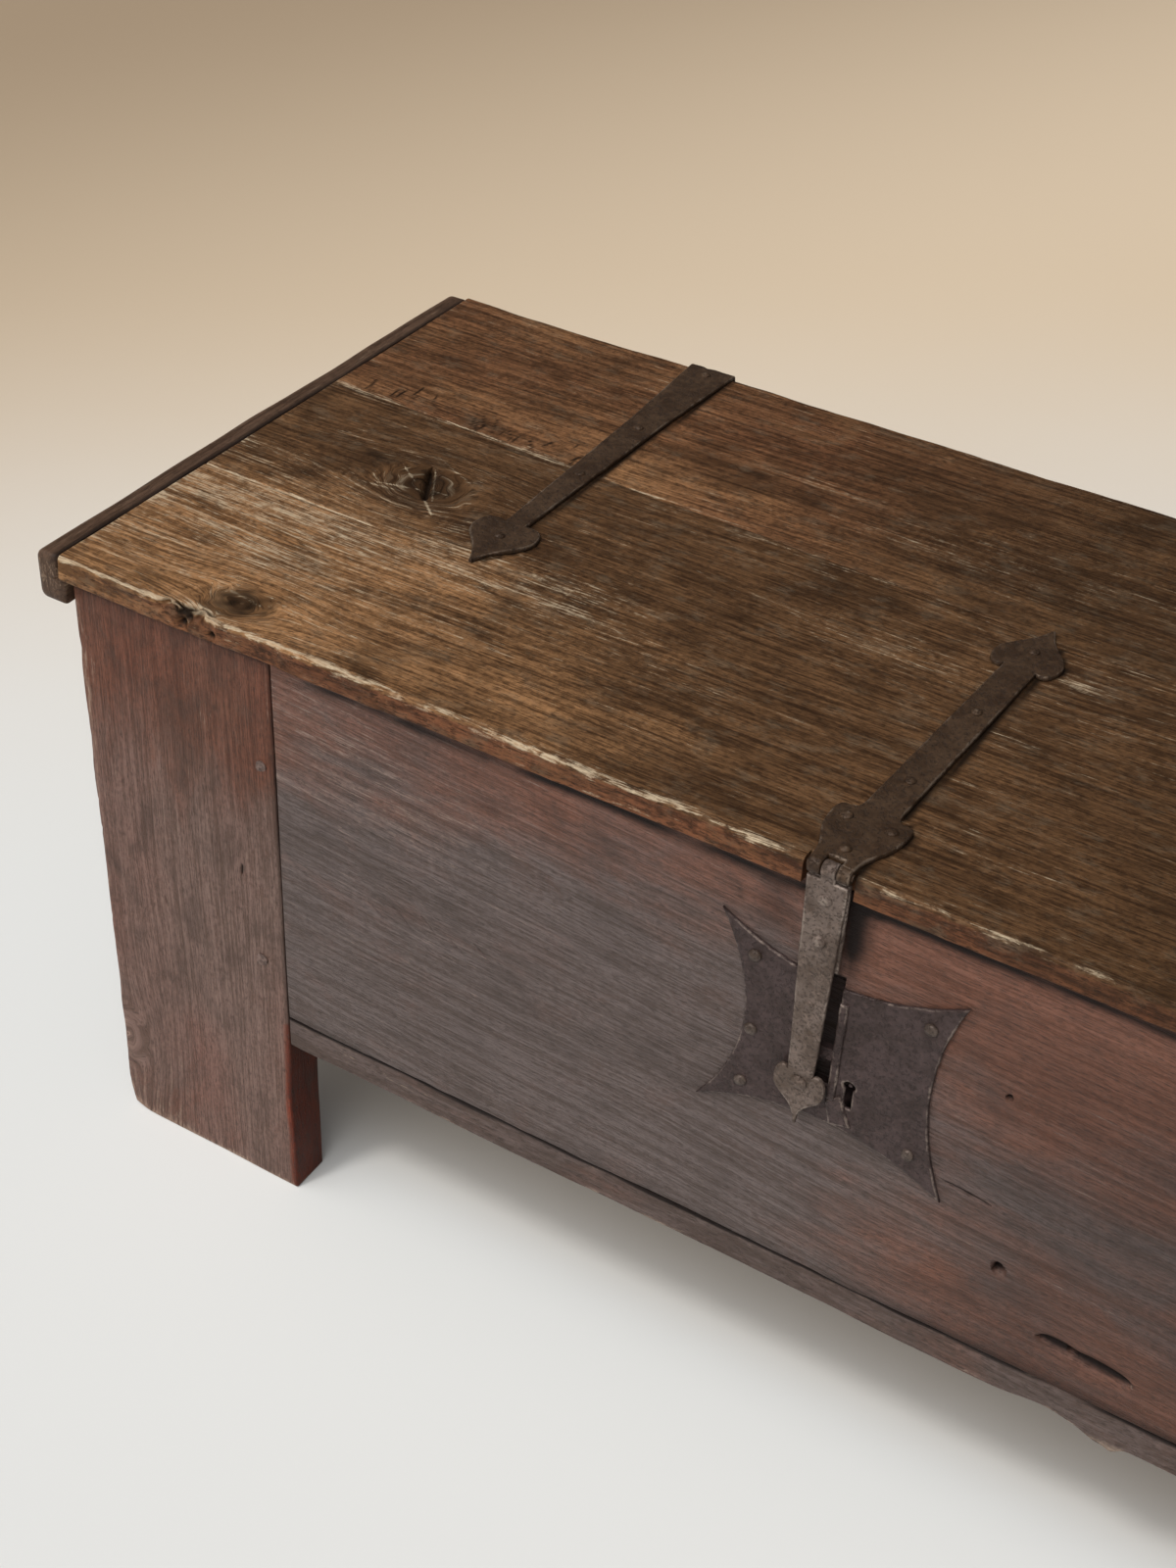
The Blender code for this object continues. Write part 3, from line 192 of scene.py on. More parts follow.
class ChestSizes(bpy.types.PropertyGroup):
    """Sizes of fastenings and wear."""

    nail_radius: bpy.props.FloatProperty(
        name="Nail head radius", description="Half the width of a forged nail head",
        default=0.0046, min=0.002, max=0.012, unit="LENGTH")
    nail_height: bpy.props.FloatProperty(
        name="Nail head height", description="How far a nail head stands proud of its plate",
        default=0.0031, min=0.0005, max=0.006, unit="LENGTH")
    rivet_radius: bpy.props.FloatProperty(
        name="Rivet head radius", description="Half the width of a rivet head on the hasp",
        default=0.0048, min=0.002, max=0.010, unit="LENGTH")
    rivet_height: bpy.props.FloatProperty(
        name="Rivet head height", description="How far a rivet head stands proud of the hasp",
        default=0.0022, min=0.0005, max=0.006, unit="LENGTH")
    peg_radius: bpy.props.FloatProperty(
        name="Peg radius", description="Half the width of an oak peg",
        default=0.0050, min=0.002, max=0.010, unit="LENGTH")
    edge_drift: bpy.props.FloatProperty(
        name="Edge drift", description="How far a board's edge wanders from a straight line",
        default=0.0009, min=0.0, max=0.004, unit="LENGTH")
    hammer_depth: bpy.props.FloatProperty(
        name="Hammer marks", description="Depth of the hammer marks on the iron",
        default=0.00022, min=0.0, max=0.001, unit="LENGTH")


class ChestTones(bpy.types.PropertyGroup):
    """Colours of the wood, the iron and the floor."""

    front: bpy.props.FloatVectorProperty(
        name="Front board", description="Tone of the front board",
        default=(0.107, 0.083, 0.077), size=3, min=0.0, max=1.0, subtype="COLOR")
    front_red: bpy.props.FloatVectorProperty(
        name="Front board, red", description="Tone of the front board under the lid and on its right",
        default=(0.160, 0.073, 0.049), size=3, min=0.0, max=1.0, subtype="COLOR")
    stile: bpy.props.FloatVectorProperty(
        name="Stiles", description="Tone of the stiles",
        default=(0.146, 0.094, 0.077), size=3, min=0.0, max=1.0, subtype="COLOR")
    stile_red: bpy.props.FloatVectorProperty(
        name="Stiles, red", description="Tone of the stiles under the lid",
        default=(0.120, 0.050, 0.031), size=3, min=0.0, max=1.0, subtype="COLOR")
    lid: bpy.props.FloatVectorProperty(
        name="Lid", description="Tone of the lid boards",
        default=(0.090, 0.0455, 0.0200), size=3, min=0.0, max=1.0, subtype="COLOR")
    lid_gold: bpy.props.FloatVectorProperty(
        name="Lid, gold", description="Tone of the lid boards where they are rubbed most",
        default=(0.250, 0.130, 0.057), size=3, min=0.0, max=1.0, subtype="COLOR")
    cleat: bpy.props.FloatVectorProperty(
        name="Cleats", description="Tone of the lid's end cleats",
        default=(0.084, 0.048, 0.029), size=3, min=0.0, max=1.0, subtype="COLOR")
    inside: bpy.props.FloatVectorProperty(
        name="Inside", description="Tone of the back, the ends and the floor",
        default=(0.094, 0.068, 0.060), size=3, min=0.0, max=1.0, subtype="COLOR")
    strap: bpy.props.FloatVectorProperty(
        name="Straps", description="Tone of the straps on the lid",
        default=(0.0535, 0.0305, 0.0163), size=3, min=0.0, max=1.0, subtype="COLOR")
    hasp: bpy.props.FloatVectorProperty(
        name="Hasp", description="Tone of the hanging hasp",
        default=(0.122, 0.091, 0.075), size=3, min=0.0, max=1.0, subtype="COLOR")
    lock: bpy.props.FloatVectorProperty(
        name="Lock", description="Tone of the lock plate",
        default=(0.048, 0.031, 0.029), size=3, min=0.0, max=1.0, subtype="COLOR")
    floor_near: bpy.props.FloatVectorProperty(
        name="Floor, near", description="Tone of the floor in front of the chest",
        default=(0.76, 0.765, 0.745), size=3, min=0.0, max=1.0, subtype="COLOR")
    floor_far: bpy.props.FloatVectorProperty(
        name="Floor, far", description="Tone of the floor behind the chest",
        default=(0.67, 0.54, 0.39), size=3, min=0.0, max=1.0, subtype="COLOR")
    floor_corner: bpy.props.FloatVectorProperty(
        name="Floor, corner", description="Tone of the floor in the far left corner",
        default=(0.36, 0.27, 0.18), size=3, min=0.0, max=1.0, subtype="COLOR")


class Value:
    """Output of one node, with arithmetic that adds Math nodes."""

    def __init__(self, maker, socket):
        self.maker = maker
        self.socket = socket

    def _with(self, operation, first, second):
        return self.maker.node("ShaderNodeMath", {"operation": operation}, {0: first, 1: second})

    def __add__(self, other):
        return self._with("ADD", self, other)

    def __radd__(self, other):
        return self._with("ADD", other, self)

    def __sub__(self, other):
        return self._with("SUBTRACT", self, other)

    def __rsub__(self, other):
        return self._with("SUBTRACT", other, self)

    def __mul__(self, other):
        return self._with("MULTIPLY", self, other)

    def __rmul__(self, other):
        return self._with("MULTIPLY", other, self)


class NodeMaker:
    """Adds nodes to one tree."""

    def __init__(self, tree):
        self.tree = tree

    def node(self, kind, settings, inputs, output=0):
        made = self.tree.nodes.new(kind)
        for key, value in settings.items():
            setattr(made, key, value)
        for key, value in inputs.items():
            self.feed(made.inputs[key], value)
        return Value(self, made.outputs[output])

    def feed(self, socket, value):
        if isinstance(value, Value):
            self.tree.links.new(value.socket, socket)
        else:
            socket.default_value = value

    def stretch(self, vector, amounts):
        """Vector with each direction scaled."""
        return self.node("ShaderNodeVectorMath", {"operation": "MULTIPLY"}, {0: vector, 1: amounts})

    def reach(self, vector, way):
        """How far a vector goes in a direction."""
        return self.node("ShaderNodeVectorMath", {"operation": "DOT_PRODUCT"}, {0: vector, 1: way}, "Value")

    def noise(self, vector, scale, detail=2.0, roughness=0.5, distortion=0.0):
        """Soft random field from about 0.2 to 0.8."""
        return self.node("ShaderNodeTexNoise", {}, {
            "Vector": vector, "Scale": scale, "Detail": detail,
            "Roughness": roughness, "Distortion": distortion,
        })

    def step(self, value, low, high):
        """Smooth step from 0 at low to 1 at high."""
        return self.node("ShaderNodeMapRange", {"interpolation_type": "SMOOTHSTEP"}, {
            "Value": value, "From Min": low, "From Max": high,
        })

    def mix(self, first, second, factor):
        """Colour between two colours."""
        return self.node("ShaderNodeMix", {"data_type": "RGBA"}, {0: factor, 6: first, 7: second}, 2)


class Finish(NodeMaker):
    """One material with a Principled shader."""

    def __init__(self, name):
        self.material = bpy.data.materials.new(name)
        self.material.use_nodes = True
        super().__init__(self.material.node_tree)
        self.shader = self.tree.nodes["Principled BSDF"]

    def attribute(self, name, output):
        return self.node("ShaderNodeAttribute", {"attribute_name": name}, {}, output)

    def place(self):
        return self.node("ShaderNodeTexCoord", {}, {}, "Object")

    def bump(self, height, strength, distance):
        return self.node("ShaderNodeBump", {}, {
            "Strength": strength, "Distance": distance, "Height": height,
        })

    def gloss(self, level):
        self.shader.inputs["Specular IOR Level"].default_value = level

    def set(self, **sockets):
        for name, value in sockets.items():
            self.feed(self.shader.inputs[name.replace("_", " ").title()], value)


def shade(tone, amount, warm=0.0):
    """Tone made lighter or darker, and warmer by a little red."""
    red, green, blue = tone
    shaded = (red * amount * (1 + warm), green * amount, blue * amount * (1 - warm))
    return (*(min(part, 1) for part in shaded), 1)


def oak_finish(name, tone, glow, pale, ember, roughness, gloss, contrast, patchy):
    """Old waxed oak: figure along the grain, pores, grime, pale strokes of rubbed wood and painted
    highlight, and dark stains with painted shade.
    """
    dark, light = contrast
    oak = Finish(name)
    grain = oak.attribute("grain", "Vector")
    wear = oak.attribute("wear", "Fac")
    stain = oak.attribute("stain", "Fac")
    blush = oak.attribute("blush", "Fac")
    ruddy = oak.attribute("ruddy", "Fac")
    cloud = oak.noise(oak.stretch(grain, (13.0, 30.0, 30.0)), 1.0, 4.0, 0.60, 0.6)
    murk = oak.noise(oak.stretch(grain, (17.0, 24.0, 24.0)), 1.0, 5.0, 0.62, 0.8)
    dust = oak.noise(oak.stretch(grain, (45.0, 75.0, 75.0)), 1.0, 5.0, 0.70)
    grime = oak.noise(grain, 210.0, 4.0, 0.70)
    figure = oak.noise(oak.stretch(grain, (4.0, 240.0, 60.0)), 1.0, 2.0, 0.55, 0.5)
    line = oak.noise(oak.stretch(grain, (26.0, 560.0, 300.0)), 1.0, 4.0, 0.70, 0.3)
    fibre = oak.noise(oak.stretch(grain, (130.0, 1200.0, 700.0)), 1.0, 2.0, 0.6)
    stroke = oak.noise(oak.stretch(grain, (34.0, 620.0, 300.0)), 1.0, 4.0, 0.70)
    band = oak.step(figure * 0.30 + line * 0.46 + grime * 0.24, 0.41, 0.59)
    plain = oak.mix(shade(tone, dark, 0.10), shade(tone, light), band)
    warm = oak.mix(shade(glow, dark, 0.10), shade(glow, light), band)
    tint = oak.mix(plain, warm, oak.step(blush + (cloud - 0.5) * 1.1 + (grime - 0.5) * 0.3, 0.12, 0.88))
    red = oak.mix(shade(ember, dark), shade(ember, light), band)
    tint = oak.mix(tint, red, ruddy * (cloud * 1.4 + 0.3))
    murk = murk * 0.8 + grime * 0.2
    tint = oak.mix(tint, shade(tone, 0.45 * dark + 0.05, 0.10), oak.step(murk, 0.47, 0.66) * patchy)
    tint = oak.mix(tint, shade(glow, 0.85), oak.step(murk, 0.47, 0.32) * patchy * 0.45)
    tint = oak.mix(tint, shade(pale, 0.40), oak.step(dust, 0.50, 0.68) * (0.32 - 0.3 * dark))
    pores = oak.step(fibre, 0.54, 0.66)
    tint = oak.mix(tint, shade(tone, 0.28, 0.12), pores * (0.95 - 0.6 * dark))
    # Pale strokes along the grain: rubbed wood, partly a painted highlight on the raised grain.
    worn_and_sheen = oak.step(stroke + wear * 0.42 + (figure - 0.5) * 0.45 + (grime - 0.5) * 0.25, 0.68, 0.84)
    tint = oak.mix(tint, (*pale, 1), worn_and_sheen * (0.40 + 0.50 * oak.step(fibre, 0.38, 0.58)))
    # Darkest tone for stains and for painted shade: under the lid, beside the straps and on the legs' inner
    # sides.
    tint = oak.mix(tint, shade(glow, 0.05), oak.step(stain + (line - 0.5) * 0.35, 0.10, 0.95))
    height = figure * 0.4 + line * 1.0 + fibre * 0.5 + grime * 0.3 - pores * 0.35 + worn_and_sheen * 0.25
    oak.set(
        base_color=tint,
        roughness=roughness + worn_and_sheen * 0.14 + (line - 0.5) * 0.30 + (grime - 0.5) * 0.25 + stain * 0.12,
        normal=oak.bump(height, 0.8, 0.0010),
    )
    oak.gloss(gloss)
    return oak.material


def iron_finish(name, tone, bright, metallic, roughness, pitted):
    """Forged iron: brown scale, pits, rubbed edges, and a painted highlight on nail crowns."""
    iron = Finish(name)
    place = iron.place()
    rub = iron.attribute("rub", "Fac")
    cloud = iron.noise(place, 42.0, 4.0, 0.6, 0.4)
    patch = iron.noise(place, 190.0, 4.0, 0.68)
    pits = iron.step(iron.noise(place, 400.0, 3.0, 0.65), 0.53, 0.64)
    tint = iron.mix(shade(tone, 0.70, 0.08), shade(tone, 1.25), iron.step(cloud, 0.36, 0.64))
    tint = iron.mix(tint, shade(tone, 1.60, 0.04), iron.step(patch, 0.52, 0.66) * 0.6)
    tint = iron.mix(tint, shade(tone, 0.50, 0.20), iron.step(patch, 0.48, 0.34) * 0.6)
    # Rubbed edges, and the painted highlight on the crowns of nail heads.
    rubbed = iron.step(rub + (cloud - 0.5) * 2.2 + (patch - 0.5) * 1.2, 0.75, 1.25)
    tint = iron.mix(tint, (*bright, 1), rubbed * 0.8)
    tint = iron.mix(tint, shade(tone, 0.38, 0.12), pits * pitted)
    iron.set(
        base_color=tint,
        roughness=roughness + (cloud - 0.5) * 0.3 + pits * 0.12 - rubbed * 0.10,
        metallic=metallic + rubbed * 0.2 - pits * 0.15,
        normal=iron.bump(cloud * 0.5 + patch * 0.8 - pits * 0.6, 0.8, 0.0012),
    )
    iron.gloss(0.3)
    return iron.material


def peg_finish(name, tone):
    """End grain of an oak peg."""
    peg = Finish(name)
    place = peg.place()
    rings = peg.noise(place, 240.0, 3.0, 0.6)
    fleck = peg.noise(place, 900.0, 2.0, 0.6)
    tint = peg.mix(shade(tone, 0.45, 0.1), shade(tone, 1.15), peg.step(rings, 0.35, 0.65))
    tint = peg.mix(tint, shade(tone, 0.3), peg.step(fleck, 0.56, 0.66) * 0.6)
    peg.set(
        base_color=tint,
        roughness=0.62 + (rings - 0.5) * 0.2,
        normal=peg.bump(rings + fleck * 0.5, 0.6, 0.0008),
    )
    return peg.material


def floor_finish(name, near, far, corner):
    """Pale floor that warms and darkens with distance, with painted shade towards the far left and painted
    shadow under the chest.
    """
    floor = Finish(name)
    place = floor.place()
    depth = floor.reach(place, (-0.6, 0.8, 0.0))
    aside = floor.reach(place, (-1.0, 0.35, 0.0))
    grit = floor.noise(place, 3.0, 3.0)
    tint = floor.mix((*near, 1), (*far, 1), floor.step(depth + (grit - 0.5) * 0.1, 0.35, 1.9))
    # Painted shade: the floor darkens towards the far left corner.
    tint = floor.mix(tint, (*corner, 1), floor.step(aside, 1.15, 3.3))
    along = floor.reach(place, (0.0, 1.0, 0.0))
    across = floor.reach(place, (1.0, 0.0, 0.0))
    # Painted shadow under the chest: the floor darker and warmer there.
    shadow_under_chest = floor.step(along, *SHADE_FRONT) * floor.step(along, *SHADE_BACK)
    for way in (-1, 1):
        shadow_under_chest = shadow_under_chest * floor.step(across, *(way * edge for edge in SHADE_SIDE))
    tint = floor.mix(tint, shade(near, 0.72, 0.10), shadow_under_chest)
    floor.set(base_color=tint, roughness=0.85 + (grit - 0.5) * 0.1)
    floor.gloss(0.2)
    camera, glossy, through = (
        floor.node("ShaderNodeLightPath", {}, {}, f"Is {ray} Ray")
        for ray in ("Camera", "Glossy", "Transmission")
    )
    seen = camera + glossy + through
    # Glow for camera, glossy and transmission rays: painted light that lifts the floor and its shadows a
    # little.
    glow = floor.node("ShaderNodeEmission", {}, {"Color": tint, "Strength": 0.95})
    lit = Value(floor, floor.shader.outputs["BSDF"])
    shown = floor.node("ShaderNodeMixShader", {}, {0: seen * 0.06, 1: lit, 2: glow})
    floor.feed(floor.tree.nodes["Material Output"].inputs["Surface"], shown)
    return floor.material


def finishes():
    """Every finish of the chest, by name; made on first use."""
    if bpy.data.materials.get("front_oak") and bpy.data.materials["front_oak"].get("dressed"):
        return {name: bpy.data.materials[name] for name in FINISHES}
    tones = bpy.context.scene.plank_chest_tones
    made = {
        "front_oak": oak_finish(
            "front", tones.front, tones.front_red, pale=(0.30, 0.22, 0.18), ember=tones.front_red,
            roughness=0.44, gloss=0.16, contrast=(0.65, 1.33), patchy=0.34),
        "stile_oak": oak_finish(
            "stile", tones.stile, tones.stile_red, pale=(0.34, 0.24, 0.18), ember=(0.190, 0.028, 0.008),
            roughness=0.48, gloss=0.16, contrast=(0.61, 1.38), patchy=0.52),
        "lid_oak": oak_finish(
            "lid", tones.lid, tones.lid_gold, pale=(0.58, 0.46, 0.31), ember=(0.125, 0.049, 0.023),
            roughness=0.50, gloss=0.10, contrast=(0.42, 1.68), patchy=0.55),
        "cleat_oak": oak_finish(
            "cleat", tones.cleat, tones.stile, pale=(0.26, 0.18, 0.12), ember=tones.stile_red,
            roughness=0.50, gloss=0.25, contrast=(0.58, 1.42), patchy=0.30),
        "inside_oak": oak_finish(
            "inside", tones.inside, tones.front_red, pale=(0.28, 0.21, 0.16), ember=tones.stile_red,
            roughness=0.60, gloss=0.20, contrast=(0.66, 1.30), patchy=0.30),
        "peg_oak": peg_finish("peg", tones.stile),
        "strap_iron": iron_finish(
            "strap", tones.strap, (0.17, 0.125, 0.090), metallic=0.20, roughness=0.55, pitted=0.55),
        "hasp_iron": iron_finish(
            "hasp", tones.hasp, (0.28, 0.225, 0.185), metallic=0.22, roughness=0.52, pitted=0.65),
        "lock_iron": iron_finish(
            "lock", tones.lock, (0.22, 0.17, 0.14), metallic=0.22, roughness=0.50, pitted=0.40),
        "nail_iron": iron_finish(
            "nail", shade(tones.hasp, 0.7)[:3], (0.32, 0.26, 0.22),
            metallic=0.28, roughness=0.42, pitted=0.40),
    }
    for name, material in made.items():
        if name in bpy.data.materials:
            bpy.data.materials[name].name = f"{name}_solid"
        material.name = name
        material["dressed"] = True
    return made


def ease(part):
    """Smooth rise from 0 to 1 as a part goes from 0 to 1."""
    return part * part * (3 - 2 * part)


def wander(along, step, size, seed):
    """Slow random drift along a line, from -size to size."""
    start = along.min() - step
    count = int((along.max() - start) / step) + 3
    knots = np.random.default_rng(seed).uniform(-size, size, count)
    place = (along - start) / step
    low = np.floor(place).astype(int)
    part = ease(place - low)
    return knots[low] * (1 - part) + knots[low + 1] * part


def mottle(along, across, patch_along, patch_across, seed):
    """Random field from -1 to 1 with patches of the given size."""
    along = along / patch_along
    across = across / patch_across
    along = along - along.min()
    across = across - across.min()
    rows = np.floor(along).astype(int)
    columns = np.floor(across).astype(int)
    lattice = np.random.default_rng(seed).uniform(-1, 1, (rows.max() + 2, columns.max() + 2))
    part_u = ease(along - rows)
    part_v = ease(across - columns)
    low = lattice[rows, columns] * (1 - part_v) + lattice[rows, columns + 1] * part_v
    high = lattice[rows + 1, columns] * (1 - part_v) + lattice[rows + 1, columns + 1] * part_v
    return low * (1 - part_u) + high * part_u


def spot(along, across, middle, reach):
    """Soft round patch, 1 in its middle."""
    return np.exp(-((along - middle[0]) / reach[0]) ** 2 - ((across - middle[1]) / reach[1]) ** 2)


def patches(along, across, *each):
    """Soft round patches together, each with its strength, middle and reach."""
    return sum(strength * spot(along, across, middle, reach) for strength, middle, reach in each)


def ramp(value, reach):
    """Straight rise from 0 at zero to 1 at a reach."""
    return np.clip(value / reach, 0, 1)


def fade(value):
    """Quick smooth fall from 1 below zero to 0 above it."""
    return 1 / (1 + np.exp(np.clip(value, -40, 40)))


def swirl(along, across, middle_u, middle_v, reach):
    """Distance from the middle of a knot, a little uneven, and how far its rings hold there."""
    away = np.hypot((along - middle_u) / 1.3, across - middle_v)
    away = away + 0.10 * reach * mottle(along, across, 0.3 * reach, 0.3 * reach, 5)
    return away, fade((away / reach - 0.66) / 0.11)


def chips(along, seed):
    """Where an arris is broken away, from 0 to 1."""
    broken = wander(along, 0.009, 1.0, seed) + 0.5 * wander(along, 0.030, 1.0, seed + 1)
    broken = np.clip(broken - 0.15, 0, 1)
    return broken * (0.7 + 0.3 * wander(along, 0.0035, 1.0, seed + 2))


def lines(length, step, close):
    """Places from 0 to length, closer together in the given stretches."""
    places = [np.linspace(0, length, max(2, round(length / step) + 1))]
    for start, end, fine in close:
        places.append(np.arange(max(start, 0), min(end, length) + fine / 2, fine))
    places = np.unique(np.round(np.concatenate(places), 6))
    places = places[(places >= 0) & (places <= length)]
    keep = np.insert(np.diff(places) > CLOSEST_LINES, 0, True)
    places = places[keep]
    places[-1] = length
    return places


def add_object(name, points, faces, attributes, material):
    """Plain mesh object at the origin with its faces pointing outwards."""
    mesh = bpy.data.meshes.new(name)
    mesh.from_pydata(points.tolist(), [], faces)
    mesh.calc_loop_triangles()
    corners = np.empty(len(mesh.loop_triangles) * 3, dtype=np.int32)
    mesh.loop_triangles.foreach_get("vertices", corners)
    a, b, c = (points[corners[start::3]] for start in range(3))
    if np.einsum("ij,ij->i", a, np.cross(b, c)).sum() < 0:
        mesh.flip_normals()
    for key, values in attributes.items():
        kind = "FLOAT" if values.ndim == 1 else "FLOAT_VECTOR"
        field = "value" if values.ndim == 1 else "vector"
        layer = mesh.attributes.new(key, kind, "POINT")
        layer.data.foreach_set(field, np.ascontiguousarray(values, dtype=np.float32).ravel())
    mesh.shade_smooth()
    mesh.set_sharp_from_angle(angle=SHARP_ANGLE)
    mesh.materials.append(material)
    made = bpy.data.objects.new(name, mesh)
    bpy.context.scene.collection.objects.link(made)
    return made


def dress(piece, body, slot, *nodes):
    """Piece that moves with a body and stands for its solids."""
    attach(piece, body)
    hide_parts(*nodes)


def recoat(material, *nodes):
    """Finish on solids that stay in view."""
    for node in nodes:
        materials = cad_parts[node].data.materials
        materials.clear()
        materials.append(material)


def skin(grain, **fields):
    """Grain and the other fields that an oak finish reads, for the points of a mesh."""
    clipped = {key: np.clip(field, 0, 1).ravel() for key, field in fields.items()}
    return {"grain": grain.reshape(-1, 3), **clipped}


def mark_fields(marks, along, across):
    """Depth, darkness and paleness of a board's holes, cracks and scars."""
    depth = np.zeros_like(along + across)
    dark = np.zeros_like(depth)
    pale = np.zeros_like(depth)
    for mark in marks:
        cosine = math.cos(mark.turn)
        sine = math.sin(mark.turn)
        run = (along - mark.u) * cosine + (across - mark.v) * sine
        side = (across - mark.v) * cosine - (along - mark.u) * sine
        taper = np.sqrt(np.maximum(1 - (2 * run / mark.long) ** 2, 0.01))
        form = np.exp(-(2 * side / (mark.wide * taper)) ** 2) * (taper > 0.1)
        depth += mark.depth * form
        dark = np.maximum(dark, mark.dark * form)
        pale = np.maximum(pale, mark.pale * form)
    return depth, dark, pale


def close_lines(marks, axis):
    """Stretches where a board's lines lie closer together for its marks."""
    stretches = []
    for mark in marks:
        if mark.depth == 0:
            continue
        cosine = abs(math.cos(mark.turn))
        sine = abs(math.sin(mark.turn))
        if axis == 1:
            cosine, sine = sine, cosine
        reach = 0.75 * (mark.long * cosine + mark.wide * sine)
        fine = reach / 5
        if cosine * sine > 0.1:
            fine = min(fine, mark.wide / 2.5)
        stretches.append((mark[axis] - reach, mark[axis] + reach, max(fine, FINEST_MARK)))
    return stretches


def step_lines(edges):
    """Stretches with one line on each side of an edge where a board steps."""
    return [(edge - STEP_HALF, edge + STEP_HALF, 2 * STEP_HALF) for edge in edges]


def rounding(end, radius):
    """How far a rounded end draws in, at a distance from it."""
    return radius - np.sqrt(np.maximum(radius**2 - np.maximum(radius - end, 0) ** 2, 0))


def loft_faces(rows, columns):
    """Faces between the closed rows of a loft, and its two ends."""
    index = np.arange(rows * columns).reshape(rows, columns)
    here, ahead = index[:-1], index[1:]
    quads = np.stack((here, np.roll(here, -1, 1), np.roll(ahead, -1, 1), ahead), axis=2).reshape(-1, 4)
    return quads.tolist() + [index[0][::-1].tolist(), index[-1].tolist()]


@dataclass
class Plank:
    """One board: along its grain, across it, and out of its good face.

    Its arrises have a low and a high edge. Marks lie on the good face, recesses are cut
    from it, knots turn the grain and dents push the skin. Windows and edges bring the
    lines of the mesh closer. Wear with any painted sheen, stain with any painted shade,
    blush and ruddy are fields for its finish.
    """

    name: str
    corner: tuple
    along: tuple
    across: tuple
    out: tuple
    size: tuple
    seed: int
    step: tuple = (0.008, 0.006)
    drift: float = 1.0
    arris: tuple = (0.0022, 0.0022)
    low_edge: object = None
    high_edge: object = None
    recesses: tuple = ()
    marks: tuple = ()
    knots: tuple = ()
    dents: tuple = ()
    edges: tuple = ()
    windows: tuple = ()
    rub: tuple = (0.5, 0.5, 0.5)
    wear: object = None
    stain: object = None
    blush: object = None
    ruddy: object = None
    hollow: float = 0.0004
    chip: float = 0.0
    slant: float = 0.0


def plank_section(board, u):
    """Closed loop round a board at each place along it: across and out, and its edges."""
    _, width, thick = board.size
    drift = board.drift * bpy.context.scene.plank_chest_sizes.edge_drift
    low = wander(u, 0.045, drift, board.seed) + wander(u, 0.012, drift * 0.35, board.seed + 1)
    high = width + wander(u, 0.05, drift, board.seed + 2)
    high = high + wander(u, 0.013, drift * 0.35, board.seed + 3)
    if board.low_edge:
        low = low + board.low_edge(u)
    if board.high_edge:
        high = high - board.high_edge(u)
    low_round = board.arris[0] * (1 + 0.45 * wander(u, 0.03, 1.0, board.seed + 4))
    low_round = low_round + board.chip * chips(u, board.seed + 10)
    high_round = board.arris[1] * (1 + 0.45 * wander(u, 0.03, 1.0, board.seed + 5))
    low, high, low_round, high_round = (value[:, None] for value in (low, high, low_round, high_round))
    close = close_lines(board.marks, 1) + [window[1] for window in board.windows]
    close += step_lines(edge for recess in board.recesses for edge in recess[2:4])
    share = lines(width, board.step[1], close)[None, :] / width
    face_v = low + low_round + share * (high - high_round - low - low_round)
    face_w = board.hollow * mottle(u[:, None] + 0 * face_v, face_v, 0.07, 0.05, board.seed + 6)
    face_w = face_w - mark_fields(board.marks, u[:, None], face_v)[0]
    for start, end, foot, top, depth in board.recesses:
        within = (u[:, None] > start) & (u[:, None] < end) & (face_v > foot) & (face_v < top)
        face_w = np.where(within, -depth, face_w)
    turn = np.linspace(0, math.pi / 2, 5)[None, 1:]
    fall = np.linspace(0, 1, max(5, round(thick / SIDE_LINES)))[None, 1:]
    flat = np.linspace(0, 1, max(3, round(width / UNDER_LINES)))[None, 1:]
    ends = face_w[:, -1:], face_w[:, :1]
    side_high = ends[0] - high_round
    side_low = ends[1] - low_round
    inner = -thick + INNER_ROUND
    across = [
        face_v,
        high - high_round + high_round * np.sin(turn),
        high + 0 * fall,
        high - INNER_ROUND * (1 - np.cos(turn)),
        high - INNER_ROUND - flat * (high - low - 2 * INNER_ROUND),
        low + INNER_ROUND * (1 - np.sin(turn)),
        low + 0 * fall,
        low + low_round * (1 - np.cos(turn[:, :-1])),
    ]
    out = [
        face_w,
        ends[0] - high_round * (1 - np.cos(turn)),
        side_high + fall * (inner - side_high),
        inner - INNER_ROUND * np.sin(turn) + 0 * high,
        -thick + 0 * flat + 0 * high,
        -thick + INNER_ROUND * (1 - np.cos(turn)) + 0 * low,
        inner + fall * (side_low - inner),
        side_low + low_round * np.sin(turn[:, :-1]),
    ]
    return np.concatenate(across, axis=1), np.concatenate(out, axis=1), low, high


